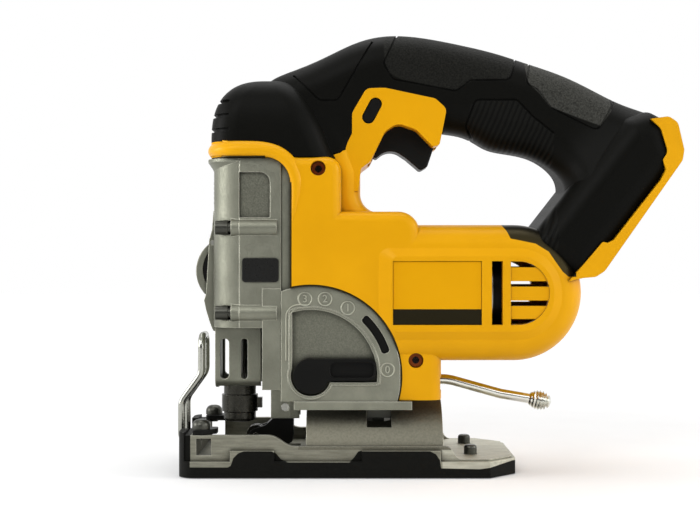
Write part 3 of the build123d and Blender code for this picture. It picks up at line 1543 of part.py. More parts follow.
# Shoe with its saddle
with BuildPart() as shoe:
    with BuildSketch(side_plane):
        with BuildLine():
            Line((shoe_front_x, sole_t), (shoe_front_x, rim_high_z))
            Line((shoe_front_x, rim_high_z), (rim_high_end_x, rim_high_z))
            Spline(
                (rim_high_end_x, rim_high_z), (rim_low_start_x, rim_low_z), tangents=[(1, 0), (1, 0)],
            )
            Line((rim_low_start_x, rim_low_z), (rim_end_x, rim_low_z))
            Spline((rim_end_x, rim_low_z), (rim_fade_x, shoe_top_z), tangents=[(1, 0), (1, 0)])
            Line((rim_fade_x, shoe_top_z), (shoe_rear_x, shoe_top_z))
            Line((shoe_rear_x, shoe_top_z), (shoe_rear_x, sole_t))
            Line((shoe_rear_x, sole_t), (shoe_front_x, sole_t))
        make_face()
    extrude(amount=shoe_half_w, both=True)
    span_box(
        (front_bar_rear_x, shoe_rear_x + 1), (-shoe_half_w + rim_t, shoe_half_w - rim_t),
        (shoe_top_z, 2 * rim_high_z), mode=Mode.SUBTRACT,
    )
    rear_corners = shoe.edges().filter_by(Axis.Z).group_by(Axis.X)[-1]
    chamfer(rear_corners, shoe_corner)
    x_rod((saddle_front_x, saddle_rear_x), 0, bevel_z, saddle_r)
    x_rod((saddle_front_x, saddle_rear_x), 0, bevel_z, saddle_r - saddle_t, mode=Mode.SUBTRACT)
    span_box(
        (shoe_front_x, shoe_rear_x), (-shoe_half_w, shoe_half_w), (-2 * saddle_r, sole_t),
        mode=Mode.SUBTRACT,
    )
    span_box(
        (saddle_front_x, saddle_rear_x), (-shoe_half_w + rim_t, shoe_half_w - rim_t), (sole_t, shoe_top_z),
    )
    with BuildSketch(Plane.YZ.offset(clamp_x - clamp_slot_w / 2)):
        with BuildLine():
            slot_reach = 2 * saddle_r
            Line((0, bevel_z), slot_ray(slot_reach, -clamp_slot_half_angle))
            ThreePointArc(
                slot_ray(slot_reach, -clamp_slot_half_angle), slot_ray(slot_reach, 0),
                slot_ray(slot_reach, clamp_slot_half_angle),
            )
            Line(slot_ray(slot_reach, clamp_slot_half_angle), (0, bevel_z))
        make_face()
        with Locations((0, bevel_z)):
            Circle(saddle_r / 2, mode=Mode.SUBTRACT)
    extrude(amount=clamp_slot_w, mode=Mode.SUBTRACT)
    span_box(
        (window_front_x, window_rear_x), (-window_half_w, window_half_w), (0, shoe_top_z + 1),
        mode=Mode.SUBTRACT,
    )
    span_box(
        (guide_slot_front_x, guide_slot_rear_x), (-through, through), (guide_slot_low_z, guide_slot_high_z),
        mode=Mode.SUBTRACT,
    )
    for side in (-1, 1):
        x_rod((shoe_front_x, front_bar_rear_x), side * wire_half_w, wire_foot_z, wire_r, mode=Mode.SUBTRACT)
        z_rod(guide_screw_x, side * guide_screw_y, (guide_slot_high_z, rim_high_z), guide_screw_shank_r,
              mode=Mode.SUBTRACT)
        z_rod(
            shoe_screw_x, side * shoe_screw_y, (sole_t, shoe_top_z), guide_screw_shank_r,
            mode=Mode.SUBTRACT,
        )
save(shoe, "shoe")

# Slide-on cover under the shoe
with BuildPart() as shoe_cover:
    span_box((cover_front_x, cover_rear_x), (-cover_half_w, cover_half_w), (0, cover_lip_z))
    chamfer(shoe_cover.edges().filter_by(Axis.Z).group_by(Axis.X)[-1], cover_corner)
    fillet(shoe_cover.edges().filter_by(Axis.Z).group_by(Axis.X)[0], cover_front_r)
    with BuildSketch(Plane.XY.offset(sole_t)):
        with BuildLine():
            inner_front, inner_rear = shoe_front_x - fit_gap, shoe_rear_x + fit_gap
            inner_half = shoe_half_w + fit_gap
            Polyline(
                (inner_front, -inner_half), (inner_front, inner_half), (inner_rear - shoe_corner, inner_half),
                (inner_rear, inner_half - shoe_corner), (inner_rear, shoe_corner - inner_half),
                (inner_rear - shoe_corner, -inner_half), close=True,
            )
        make_face()
    extrude(amount=cover_lip_z, mode=Mode.SUBTRACT)
    span_box(
        (shoe_front_x, cover_rear_x + 1), (-through, through), (cover_clip_z, through), mode=Mode.SUBTRACT,
    )
    clip_ends = [shoe_front_x] + [x for clip in cover_clips for x in clip] + [cover_rear_x + 1]
    for low_start, low_end in zip(clip_ends[0::2], clip_ends[1::2]):
        span_box((low_start, low_end), (-through, through), (cover_low_z, through), mode=Mode.SUBTRACT)
    span_box(
        (cover_front_x - 1, shoe_front_x), (-cover_lip_half_gap, cover_lip_half_gap), (sole_t, through),
        mode=Mode.SUBTRACT,
    )
    span_box(
        (window_front_x, window_rear_x), (-window_half_w, window_half_w), (-1, sole_t), mode=Mode.SUBTRACT,
    )
save(shoe_cover, "shoe_cover")

with BuildPart() as shoe_screws:
    for side in (-1, 1):
        z_rod(shoe_screw_x, side * shoe_screw_y, (sole_t, shoe_top_z), guide_screw_shank_r)
        z_rod(shoe_screw_x, side * shoe_screw_y, (shoe_top_z, shoe_top_z + shoe_screw_h), shoe_screw_r)
    fillet(shoe_screws.edges().filter_by(GeomType.CIRCLE).group_by(Axis.Z)[-1], shoe_screw_edge_r)
save(shoe_screws, "shoe_screws")

# Brackets and domed screws of the edge guide slot
with BuildPart() as left_bracket:
    span_box(
        (bracket_front_x, bracket_rear_x), (-shoe_half_w, -bracket_in_y),
        (rim_high_z, rim_high_z + bracket_t),
    )
    chamfer(left_bracket.edges().filter_by(Axis.Z).group_by(Axis.X)[-1].sort_by(Axis.Y)[0], bracket_cut)
    fillet(left_bracket.edges().filter_by(Axis.Z), bracket_corner_r)
    z_rod(
        guide_screw_x, -guide_screw_y, (rim_high_z, rim_high_z + bracket_t), guide_screw_shank_r,
        mode=Mode.SUBTRACT,
    )
save(left_bracket, "left_bracket")

with BuildPart() as right_bracket:
    mirror(left_bracket.part, about=side_plane)
save(right_bracket, "right_bracket")

with BuildPart() as guide_screws:
    head_z = rim_high_z + bracket_t
    for side in (-1, 1):
        z_rod(guide_screw_x, side * guide_screw_y, (head_z, head_z + guide_screw_h), guide_screw_r)
    fillet(guide_screws.edges().filter_by(GeomType.CIRCLE).group_by(Axis.Z)[-1], guide_dome_r)
    for side in (-1, 1):
        z_rod(guide_screw_x, side * guide_screw_y, (guide_slot_high_z, head_z), guide_screw_shank_r)
save(guide_screws, "guide_screws")

# Wire guard in front of the blade
with BuildPart() as wire_guard:
    with BuildLine() as wire_path:
        FilletPolyline(
            (front_bar_rear_x, -wire_half_w, wire_foot_z), (wire_front_x, -wire_half_w, wire_foot_z),
            (wire_front_x, -wire_half_w, wire_knee_z), (wire_top_x, -wire_half_w, wire_elbow_z),
            (wire_top_x, -wire_half_w, wire_top_z), (wire_top_x, wire_half_w, wire_top_z),
            (wire_top_x, wire_half_w, wire_elbow_z), (wire_front_x, wire_half_w, wire_knee_z),
            (wire_front_x, wire_half_w, wire_foot_z), (front_bar_rear_x, wire_half_w, wire_foot_z),
            radius=wire_bend_rs,
        )
    with BuildSketch(Plane(origin=wire_path.wire() @ 0, z_dir=wire_path.wire() % 0)):
        Circle(wire_r)
    sweep()
save(wire_guard, "wire_guard")

# Bevel clamp: curved plate under the saddle, bolt and lever
with BuildPart() as clamp_plate:
    plate_r = saddle_r - saddle_t - moving_gap + seat_gap
    span_box(
        (clamp_x - clamp_plate_len / 2, clamp_x + clamp_plate_len / 2),
        (-clamp_plate_half_w, clamp_plate_half_w), (bevel_z + plate_r / 2, bevel_z + plate_r),
    )
    x_rod((2 * clamp_x, 0), 0, bevel_z, plate_r, mode=Mode.INTERSECT)
    x_rod((2 * clamp_x, 0), 0, bevel_z, plate_r - clamp_plate_t, mode=Mode.SUBTRACT)
    z_rod(clamp_x, 0, (bevel_z, bevel_z + saddle_r), bolt_r, mode=Mode.SUBTRACT)
save(clamp_plate, "clamp_plate")

with BuildPart() as clamp_bolt:
    z_rod(clamp_x, 0, (nut_low_z, hub_low_z + lever_hub_h + seat_gap), bolt_r)
    with BuildSketch(Plane.XY.offset(nut_low_z)):
        with Locations((clamp_x, 0)):
            RegularPolygon(nut_r, 6)
    extrude(amount=nut_h)
    with BuildSketch(Plane.XY.offset(hub_low_z + lever_hub_h + seat_gap)):
        with Locations((clamp_x, 0)):
            RegularPolygon(nut_r, 6)
    extrude(amount=bolt_head_h)
save(clamp_bolt, "clamp_bolt")

lever_end = Vector(lever_tip_x - lever_bend_x, 0, lever_tip_z - lever_bend_z)

with BuildPart() as bevel_lever:
    with BuildLine(side_plane) as lever_path:
        FilletPolyline(
            (clamp_x + lever_hub_r - 1, lever_z), (lever_knee_x, lever_z), (lever_bend_x, lever_bend_z),
            (lever_tip_x, lever_tip_z), radius=lever_bend_r,
        )
    with BuildSketch(Plane(origin=lever_path.wire() @ 0, z_dir=lever_path.wire() % 0)):
        Circle(lever_rod_r)
    sweep()
    z_rod(clamp_x, 0, (hub_low_z, hub_low_z + lever_hub_h), lever_hub_r)
    z_rod(clamp_x, 0, (hub_low_z, hub_low_z + lever_hub_h), bolt_r + running_gap, mode=Mode.SUBTRACT)
save(bevel_lever, "bevel_lever")

knob_plane = Plane(origin=(lever_tip_x, 0, lever_tip_z), x_dir=lever_end, z_dir=(0, -1, 0))
knob_axis = Axis((lever_tip_x, 0, lever_tip_z), lever_end)

knob_outline = [(-knob_half_len, 0)]
for ring in range(lever_knob_rings):
    along = (ring - (lever_knob_rings - 1) / 2) * knob_pitch
    ring_r = lever_knob_r * (1 - (along / knob_half_len) ** 2) ** 0.5
    knob_outline.append((along - knob_pitch / 2, ring_r - knob_groove))
    knob_outline.append((along, ring_r))
knob_outline.append(((lever_knob_rings / 2) * knob_pitch, ring_r - knob_groove))
knob_outline.append((knob_half_len, 0))

with BuildPart() as lever_knob:
    with BuildSketch(knob_plane):
        with BuildLine():
            Polyline(*knob_outline, close=True)
        make_face()
    revolve(axis=knob_axis)
    with BuildSketch(Plane(origin=(lever_tip_x, 0, lever_tip_z), z_dir=-lever_end)):
        Circle(lever_rod_r)
    extrude(amount=2 * knob_half_len, mode=Mode.SUBTRACT)
save(lever_knob, "lever_knob")

# Trigger, lock button and switch
with BuildPart() as trigger:
    with BuildSketch(side_plane):
        with BuildLine():
            FilletPolyline(*trigger_outline, radius=trigger_radii, close=True)
        make_face()
    extrude(amount=trigger_half_w, both=True)
    side_edges = trigger.faces().filter_by(Axis.Y).edges()
    fillet(side_edges.filter_by(lambda e: e.center().Z < trigger_front_z), trigger_edge_r)
save(trigger, "trigger")

with BuildPart() as lock_button:
    with BuildSketch(Plane.XZ.offset(-lock_left_y)):
        with Locations(Location((lock_x, lock_z, 0), (0, 0, lock_angle))):
            SlotOverall(lock_len, lock_w)
    extrude(amount=2 * lock_left_y - lock_travel)
save(lock_button, "lock_button")

with BuildPart() as switch_module:
    span_box((switch_front_x, switch_rear_x), (-switch_half_w, switch_half_w), (switch_low_z, switch_high_z))
save(switch_module, "switch_module")

# Battery terminals on the channel's floor
with BuildPart() as terminal_block:
    with BuildSketch(rail_plane):
        with Locations(((terminal_low + terminal_high) / 2, channel_depth - terminal_h / 2)):
            Rectangle(terminal_high - terminal_low, terminal_h)
    extrude(amount=terminal_half_w, both=True)
save(terminal_block, "terminal_block")

with BuildPart() as terminal_blades:
    for blade_y in blade_ys:
        with BuildSketch(rail_plane.offset(-blade_y - blade_t / 2)):
            with Locations((terminal_high + blade_len / 2, channel_depth - terminal_h / 2)):
                Rectangle(blade_len, blade_h)
        extrude(amount=blade_t)
save(terminal_blades, "terminal_blades")
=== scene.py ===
import math
import bpy
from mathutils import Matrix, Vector


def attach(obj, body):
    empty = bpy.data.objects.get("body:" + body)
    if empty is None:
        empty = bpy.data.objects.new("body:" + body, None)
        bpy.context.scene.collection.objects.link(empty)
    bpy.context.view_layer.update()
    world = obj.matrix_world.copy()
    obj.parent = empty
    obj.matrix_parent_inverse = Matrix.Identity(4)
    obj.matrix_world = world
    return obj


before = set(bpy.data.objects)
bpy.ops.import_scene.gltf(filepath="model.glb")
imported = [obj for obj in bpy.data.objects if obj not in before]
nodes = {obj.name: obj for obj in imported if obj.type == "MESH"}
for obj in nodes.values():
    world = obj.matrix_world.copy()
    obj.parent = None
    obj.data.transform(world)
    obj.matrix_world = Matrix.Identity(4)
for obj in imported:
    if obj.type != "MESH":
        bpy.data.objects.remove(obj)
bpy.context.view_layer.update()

scene = bpy.context.scene

# Colours that more than one look uses, from the darkest to the lightest of the mottle
yellow_low, yellow_high = (0.74, 0.345, 0.001), (0.79, 0.375, 0.0016)
yellow_tint = (1.0, 0.78, 0.30)
rubber_low, rubber_high = (0.0026, 0.0026, 0.0020), (0.0040, 0.0040, 0.0031)

# Lines between two colours in the side view, as (X, Z) in mm
no_limit = 250
leather_line = [
    (-21, no_limit), (-20.5, 200), (-18, 193), (-12, 190), (4, 186.6), (14, 185), (19, 187.5), (24, 190),
    (39.5, 190), (43, 197), (44, no_limit), (48, no_limit), (48.6, 193), (50, 188), (55.3, 182.7),
    (60.2, 176.6), (84, 167), (90, 175), (91, no_limit)]
ribbed_line = [
    (19.4, 0), (19.8, 171), (22, 178), (24, 180), (44, 180), (52, 171.5), (62, 163.6), (63, 0)]
runout_line = [
    (35.8, no_limit), (36.2, 118.8), (38.1, 116), (39.6, 112.6), (44.3, 111.7), (51.5, 110.2), (57.7, 106.4),
    (61.6, 100.7), (64.4, 96.8), (67.3, 94.4), (70.7, 94.4), (71, no_limit)]
cover_line = [
    (-113, no_limit), (-112.9, 5.1), (-94.5, 5.1), (-93, 6), (-92, 9.4), (-89.7, 11.7), (-87, 12.7),
    (-73.7, 12.7), (-71.4, 10.8), (-69.5, 8.4), (-66.2, 7.5), (-37, 7.5), (-35.1, 9.4), (-33.2, 12.2),
    (-31.4, 12.7), (0.7, 12.7), (3.5, 11.3), (5.4, 8.4), (5.8, 4.7), (24, 4.3), (33.6, 5.6), (40.7, 6.6)]

# Other limits of colours in the side view, in metres
# Where the painted light on the rear leather panel of the grip begins.
painted_light_panel_x = 0.046
nose_rear_x, nose_foot_z = -0.0905, 0.1594
# The gap_ limits below place the painted shade of the gap between the shell and the gear case.
gap_rear_x = -0.0648
gap_bend, gap_bend_r = (-0.0774, 0.1396), 0.0119
gap_top_z = 0.1523
sector_hub, gap_sector_r = (-0.0557, 0.0471), 0.0438
saddle_front_x, saddle_foot_z = -0.0615, 0.0129
tongue_front_x = 0.0065
plate_strip_z = 0.0792
# Centres and size of the painted shade in the housing screws' sockets.
well_centres, well_socket_r = ((-0.0522, 0.1464), (-0.0054, 0.0544)), 0.0017

# Values that the materials share: scales of noise, lengths in metres, shares of a colour
grain_detail, grain_depth = 2.0, 0.0003
speck_scale, skin_scale = 1800, 1700
skin_share = (0.66, 0.76)
# Painted shade in corners and holes: shares of the colour left deep in a corner, and the most of it laid on.
painted_shade_share, painted_shade_most = (0.10, 0.20), 0.95
# Spread of the lighter edge colour, partly rubbing and partly a painted highlight.
rubbed_and_highlit_spread = 1.15
edge_samples, corner_samples = 4, 6
edge_cosine, flat_cosine = 0.80, 0.99
corner_light, open_light = 0.30, 0.80

# Grip rubber. The slant of its ribs is in degrees.
grip_gloss, grip_rough, leather_rougher = 0.05, (0.40, 0.50), 0.08
grip_grain_scale, leather_scale, leather_detail = 2400, 1250, 4.0
rib_scale, rib_waver, rib_slant = 125.0, 0.4, -22
panel_edge, grip_edge = 0.0006, 0.0005
grip_relief, grip_depth = 0.6, 0.0004

# Shoe with its cover, and how soft the lines of the cover and of the rubber's run-out are
shoe_gloss, shoe_rough, shoe_metal = 0.07, (0.42, 0.58), 0.9
shoe_grain_scale, brush_scale, brush_detail, brush_stretch = 1000, 900, 3.0, (0.12, 1, 1)
# Lighter shoe edges are partly rubbing and partly a painted highlight; its corners get painted shade.
shoe_edge, shoe_rubbed_and_highlit, shoe_relief = 0.0006, 0.6, 0.16
shoe_shade_reach, shoe_shade_most = 0.005, 0.9
cover_edge, runout_edge = 0.0002, 0.0003


# Node helpers. Every texture is procedural and lies in object space, in metres.
def new_material(name):
    """New material and its node tree."""
    material = bpy.data.materials.new(name)
    material.use_nodes = True
    return material, material.node_tree


def add_node(tree, kind, **sockets):
    """New node with values for some of its sockets, named with _ for a space."""
    node = tree.nodes.new(kind)
    for key, value in sockets.items():
        node.inputs[key.replace("_", " ")].default_value = value
    return node


def placed(tree, texture, setting, value):
    """Put a texture in object space through a mapping with one setting."""
    coords = tree.nodes.new("ShaderNodeTexCoord")
    mapping = tree.nodes.new("ShaderNodeMapping")
    mapping.inputs[setting].default_value = value
    tree.links.new(coords.outputs["Object"], mapping.inputs["Vector"])
    tree.links.new(mapping.outputs["Vector"], texture.inputs["Vector"])
    return texture.outputs["Fac"]


def noise(tree, scale, detail=3.0, stretch=(1, 1, 1)):
    """Noise stretched along the axes."""
    return placed(tree, add_node(tree, "ShaderNodeTexNoise", Scale=scale, Detail=detail), "Scale", stretch)


def ramp(tree, source, low, high, start=0.3, end=0.7):
    """Colour ramp between two colours, driven by a value."""
    node = tree.nodes.new("ShaderNodeValToRGB")
    node.color_ramp.elements[0].position = start
    node.color_ramp.elements[1].position = end
    node.color_ramp.elements[0].color = (*low, 1)
    node.color_ramp.elements[1].color = (*high, 1)
    tree.links.new(source, node.inputs["Fac"])
    return node.outputs["Color"]


def map_range(tree, source, low, high, start=0.3, end=0.7):
    """Scale a value from one range to another, clamped."""
    node = add_node(tree, "ShaderNodeMapRange", From_Min=start, From_Max=end, To_Min=low, To_Max=high)
    tree.links.new(source, node.inputs["Value"])
    return node.outputs["Result"]


def math_node(tree, operation, first, second):
    """Math node on two inputs, each a socket or a number."""
    node = tree.nodes.new("ShaderNodeMath")
    node.operation = operation
    for slot, value in zip(node.inputs, (first, second)):
        if isinstance(value, (int, float)):
            slot.default_value = value
        else:
            tree.links.new(value, slot)
    return node.outputs["Value"]


def product(tree, first, second):
    """Product of two values; of two masks, where both are 1."""
    return math_node(tree, "MULTIPLY", first, second)


def less(tree, value, limit):
    """1 where the value is below the limit."""
    return math_node(tree, "LESS_THAN", value, limit)


def more(tree, value, limit):
    """1 where the value is above the limit."""
    return math_node(tree, "GREATER_THAN", value, limit)


def either(tree, masks):
    """1 where one of the masks is 1."""
    joined = masks[0]
    for mask in masks[1:]:
        joined = math_node(tree, "MAXIMUM", joined, mask)
    return joined


def past(tree, value, line, soft):
    """0 up to the line and 1 past it, over a soft width in metres."""
    return map_range(tree, math_node(tree, "SUBTRACT", value, line), 0.0, 1.0, 0.0, soft)


def sum_of_squares(tree, first, second):
    """First squared plus second squared."""
    return math_node(tree, "ADD", product(tree, first, first), product(tree, second, second))


def mix_colour(tree, factor, first, second):
    """Mix two colour sockets by a factor socket.

    The node's sockets share names, so they go by number: colours in at 6 and 7, out at 2."""
    node = tree.nodes.new("ShaderNodeMix")
    node.data_type = "RGBA"
    for index, source in ((0, factor), (6, first), (7, second)):
        tree.links.new(source, node.inputs[index])
    return node.outputs[2]


def axes(tree):
    """X, Y and Z of the point in object space."""
    coords = tree.nodes.new("ShaderNodeTexCoord")
    split = tree.nodes.new("ShaderNodeSeparateXYZ")
    tree.links.new(coords.outputs["Object"], split.inputs["Vector"])
    return split.outputs["X"], split.outputs["Y"], split.outputs["Z"]


def profile(tree, source, points, low=0.0, high=0.250):
    """Broken line over a coordinate, from (coordinate, height) points in thousandths.

    The heights lie between low and high."""
    start, end = points[0][0] / 1000, points[-1][0] / 1000
    fraction = map_range(tree, source, 0.0, 1.0, start, end)
    node = tree.nodes.new("ShaderNodeValToRGB")
    stops = node.color_ramp.elements
    while len(stops) < len(points):
        stops.new(0.5)
    for stop, (along, height) in zip(stops, points):
        stop.position = (along / 1000 - start) / (end - start)
        share = (height / 1000 - low) / (high - low)
        stop.color = (share, share, share, 1)
    tree.links.new(fraction, node.inputs["Fac"])
    return map_range(tree, node.outputs["Color"], low, high, 0.0, 1.0)


def within(tree, across, up, centre, radius):
    """1 inside a circle of the side view, in metres."""
    aside = math_node(tree, "SUBTRACT", across, centre[0])
    aloft = math_node(tree, "SUBTRACT", up, centre[1])
    return less(tree, sum_of_squares(tree, aside, aloft), radius ** 2)


def softened(tree, edge):
    """Rounded-edge normal, and a mask that is 1 along the edges that it rounds."""
    bevel = add_node(tree, "ShaderNodeBevel", Radius=edge)
    bevel.samples = edge_samples
    geometry = tree.nodes.new("ShaderNodeNewGeometry")
    turn = tree.nodes.new("ShaderNodeVectorMath")
    turn.operation = "DOT_PRODUCT"
    tree.links.new(bevel.outputs["Normal"], turn.inputs[0])
    tree.links.new(geometry.outputs["Normal"], turn.inputs[1])
    return bevel.outputs["Normal"], map_range(
        tree, turn.outputs["Value"], 1.0, 0.0, edge_cosine, flat_cosine)


def painted_shade_mask(tree, distance, most):
    """Mask of painted shade: it rises to most in corners and holes, judged within a distance."""
    hollow = add_node(tree, "ShaderNodeAmbientOcclusion", Distance=distance)
    hollow.samples = corner_samples
    return map_range(tree, hollow.outputs["AO"], most, 0.0, corner_light, open_light)


def bumped(tree, height, normal, strength, depth):
    """Give the shader a bump on top of a normal."""
    bump = add_node(tree, "ShaderNodeBump", Strength=strength, Distance=depth)
    tree.links.new(height, bump.inputs["Height"])
    tree.links.new(normal, bump.inputs["Normal"])
    tree.links.new(bump.outputs["Normal"], tree.nodes["Principled BSDF"].inputs["Normal"])


def scaled(colour, share):
    """Colour times a share, at most 1."""
    return [min(1.0, share * part) for part in colour]


def surface(name, low, high, rough, metal=0.0, gloss=0.5, tint=None, grain=900.0, relief=0.1, blotch=40.0,
            edge=0.0003, rubbed_and_highlit=None, rubbed_and_highlit_share=0.6, stretch=(1, 1, 1), recess=None, painted_shade_reach=0.0):
    """A material with blotchy colour, uneven gloss, fine grain, softened edges and a lighter colour on them,
    partly rubbing and partly a painted highlight.

    Where recess is given as a depth and two ends along X, faces between those ends and nearer to the middle
    plane than that depth are the rough, darker skin of the casting.
    Where a reach is given, corners and holes are darkened within that distance, as painted shade."""
    material, tree = new_material(name)
    shader = tree.nodes["Principled BSDF"]
    shader.inputs["Metallic"].default_value = metal
    shader.inputs["Specular IOR Level"].default_value = gloss
    if tint:
        shader.inputs["Specular Tint"].default_value = (*tint, 1)
    fine = noise(tree, grain, grain_detail, stretch)
    normal, rim = softened(tree, edge)
    colour = ramp(tree, noise(tree, blotch), low, high)
    if recess:
        depth, front, rear = recess
        across, side, _ = axes(tree)
        inner = less(tree, math_node(tree, "ABSOLUTE", side, 0.0), depth)
        span = product(tree, more(tree, across, front), less(tree, across, rear))
        pits = noise(tree, skin_scale, grain_detail)
        skin = ramp(tree, pits, scaled(low, skin_share[0]), scaled(high, skin_share[1]))
        colour = mix_colour(tree, product(tree, inner, span), colour, skin)
    # Lighter colour along the edges: partly rubbing, partly a painted highlight where edges catch the light.
    if rubbed_and_highlit:
        light = ramp(tree, fine, rubbed_and_highlit, scaled(rubbed_and_highlit, rubbed_and_highlit_spread))
        colour = mix_colour(tree, product(tree, rim, rubbed_and_highlit_share), colour, light)
    # Painted shade: corners and holes darkened from ambient occlusion.
    if painted_shade_reach:
        dark = ramp(tree, fine, scaled(low, painted_shade_share[0]), scaled(high, painted_shade_share[1]))
        colour = mix_colour(tree, painted_shade_mask(tree, painted_shade_reach, painted_shade_most), colour, dark)
    tree.links.new(colour, shader.inputs["Base Color"])
    tree.links.new(map_range(tree, fine, *rough), shader.inputs["Roughness"])
    bumped(tree, fine, normal, relief, grain_depth)
    return material


def paint_over(material, mask, low, high):
    """Lay a second speckled colour over a material where the mask is 1."""
    tree = material.node_tree
    slot = tree.nodes["Principled BSDF"].inputs["Base Color"]
    under = slot.links[0].from_socket
    over = ramp(tree, noise(tree, speck_scale), low, high)
    tree.links.new(mix_colour(tree, mask, under, over), slot)


def grip_material():
    """Moulded rubber: smooth, with leather grain on the upper panels and fine slanted ribs on the lower one.
    The rear leather panel is painted lighter, as painted light.

    The band along the foot of the nose is yellow, like the shell that it meets."""
    material, tree = new_material("grip_rubber")
    shader = tree.nodes["Principled BSDF"]
    shader.inputs["Specular IOR Level"].default_value = grip_gloss
    across, _, up = axes(tree)
    leather = past(tree, up, profile(tree, across, leather_line), panel_edge)
    ribbed = past(tree, profile(tree, across, ribbed_line), up, panel_edge)
    grain = noise(tree, leather_scale, leather_detail)
    fine = noise(tree, grip_grain_scale, grain_detail)
    wave = add_node(tree, "ShaderNodeTexWave", Scale=rib_scale, Distortion=rib_waver)
    ribs = placed(tree, wave, "Rotation", (0, math.radians(rib_slant), 0))
    smooth_colour = ramp(tree, fine, rubber_low, rubber_high)
    front_leather = ramp(tree, grain, (0.004, 0.004, 0.0033), (0.016, 0.016, 0.0136))
    # Painted light: the rear leather panel is the same rubber, painted lighter where it faces the light.
    rear_leather_painted_light = ramp(tree, grain, (0.019, 0.019, 0.0165), (0.058, 0.058, 0.0510))
    leather_colour = mix_colour(tree, more(tree, across, painted_light_panel_x), front_leather, rear_leather_painted_light)
    ribbed_colour = ramp(tree, ribs, (0.0025, 0.0025, 0.002), (0.006, 0.006, 0.005))
    colour = mix_colour(tree, leather, smooth_colour, leather_colour)
    colour = mix_colour(tree, ribbed, colour, ribbed_colour)
    tree.links.new(colour, shader.inputs["Base Color"])
    rough = map_range(tree, fine, *grip_rough)
    extra = product(tree, leather, leather_rougher)
    tree.links.new(math_node(tree, "ADD", rough, extra), shader.inputs["Roughness"])
    normal, _ = softened(tree, grip_edge)
    height = math_node(tree, "ADD", product(tree, grain, leather), product(tree, ribs, ribbed))
    bumped(tree, height, normal, grip_relief, grip_depth)
    foot = product(tree, less(tree, across, nose_rear_x), less(tree, up, nose_foot_z))
    paint_over(material, foot, yellow_low, yellow_high)
    return material


def shell_material():
    """Yellow plastic, with the black rubber run out over the barrel's top where the rear post meets it.

    The narrow gap along the gear case, over its top and round its sector is painted dark, as painted shade in
    the gap."""
    material = surface("yellow_shell", yellow_low, yellow_high, (0.32, 0.40), gloss=0.35, tint=yellow_tint,
                       grain=2200, relief=0.03, edge=0.0006, rubbed_and_highlit=(0.84, 0.44, 0.01), rubbed_and_highlit_share=0.5, painted_shade_reach=0.0025)
    tree = material.node_tree
    across, _, up = axes(tree)
    runout = past(tree, up, profile(tree, across, runout_line), runout_edge)
    paint_over(material, runout, rubber_low, rubber_high)
    # Painted shade: a thin dark line in the gap between the shell and the gear case.
    gap = either(tree, [
        product(tree, less(tree, across, gap_rear_x), less(tree, up, gap_bend[1])),
        product(tree, less(tree, across, gap_bend[0]), less(tree, up, gap_top_z)),
        within(tree, across, up, gap_bend, gap_bend_r),
        within(tree, across, up, sector_hub, gap_sector_r)])
    paint_over(material, gap, (0.010, 0.006, 0.002), (0.018, 0.011, 0.003))
    return material


def shoe_material():
    """Pressed alloy shoe with a darker cast saddle, and the black plastic cover along its sides and sole. Its
    edges are lighter, partly rubbing and partly a painted highlight, and its corners and holes get painted
    shade.
    """
    material, tree = new_material("shoe_finish")
    shader = tree.nodes["Principled BSDF"]
    shader.inputs["Specular IOR Level"].default_value = shoe_gloss
    across, _, up = axes(tree)
    covered = past(tree, profile(tree, across, cover_line), up, cover_edge)
    saddle = product(tree, more(tree, across, saddle_front_x), more(tree, up, saddle_foot_z))
    brushed = noise(tree, brush_scale, brush_detail, brush_stretch)
    fine = noise(tree, shoe_grain_scale)
    plain = ramp(tree, brushed, (0.19, 0.186, 0.146), (0.28, 0.274, 0.218))
    polished = ramp(tree, brushed, (0.38, 0.37, 0.30), (0.54, 0.53, 0.44))
    cast = ramp(tree, fine, (0.130, 0.125, 0.096), (0.185, 0.178, 0.138))
    shoe_rim_rubbed_and_highlit = ramp(tree, fine, (0.44, 0.43, 0.36), (0.52, 0.51, 0.43))
    shade = ramp(tree, fine, (0.016, 0.015, 0.012), (0.030, 0.029, 0.023))
    plastic = ramp(tree, fine, (0.0045, 0.0045, 0.0036), (0.0068, 0.0068, 0.0055))
    normal, rim = softened(tree, shoe_edge)
    colour = mix_colour(tree, more(tree, across, tongue_front_x), plain, polished)
    colour = mix_colour(tree, saddle, colour, cast)
    # Lighter edges, partly rubbing and partly a painted highlight; then painted shade in corners and holes.
    colour = mix_colour(tree, product(tree, rim, shoe_rubbed_and_highlit), colour, shoe_rim_rubbed_and_highlit)
    colour = mix_colour(tree, painted_shade_mask(tree, shoe_shade_reach, shoe_shade_most), colour, shade)
    colour = mix_colour(tree, covered, colour, plastic)
    tree.links.new(colour, shader.inputs["Base Color"])
    tree.links.new(map_range(tree, covered, shoe_metal, 0.0, 0.0, 1.0), shader.inputs["Metallic"])
    tree.links.new(map_range(tree, fine, *shoe_rough), shader.inputs["Roughness"])
    bumped(tree, fine, normal, shoe_relief, grain_depth)
    return material


def plate_material():
    """Bare side plate: yellow above, a dark strip along its foot."""
    material = surface("side_plate", (0.74, 0.345, 0.001), (0.78, 0.37, 0.0015), (0.30, 0.38), gloss=0.25,
                       tint=yellow_tint, grain=1500, relief=0.02)
    tree = material.node_tree
    _, _, up = axes(tree)
    paint_over(material, less(tree, up, plate_strip_z), (0.004, 0.004, 0.0034), (0.006, 0.006, 0.005))
    return material


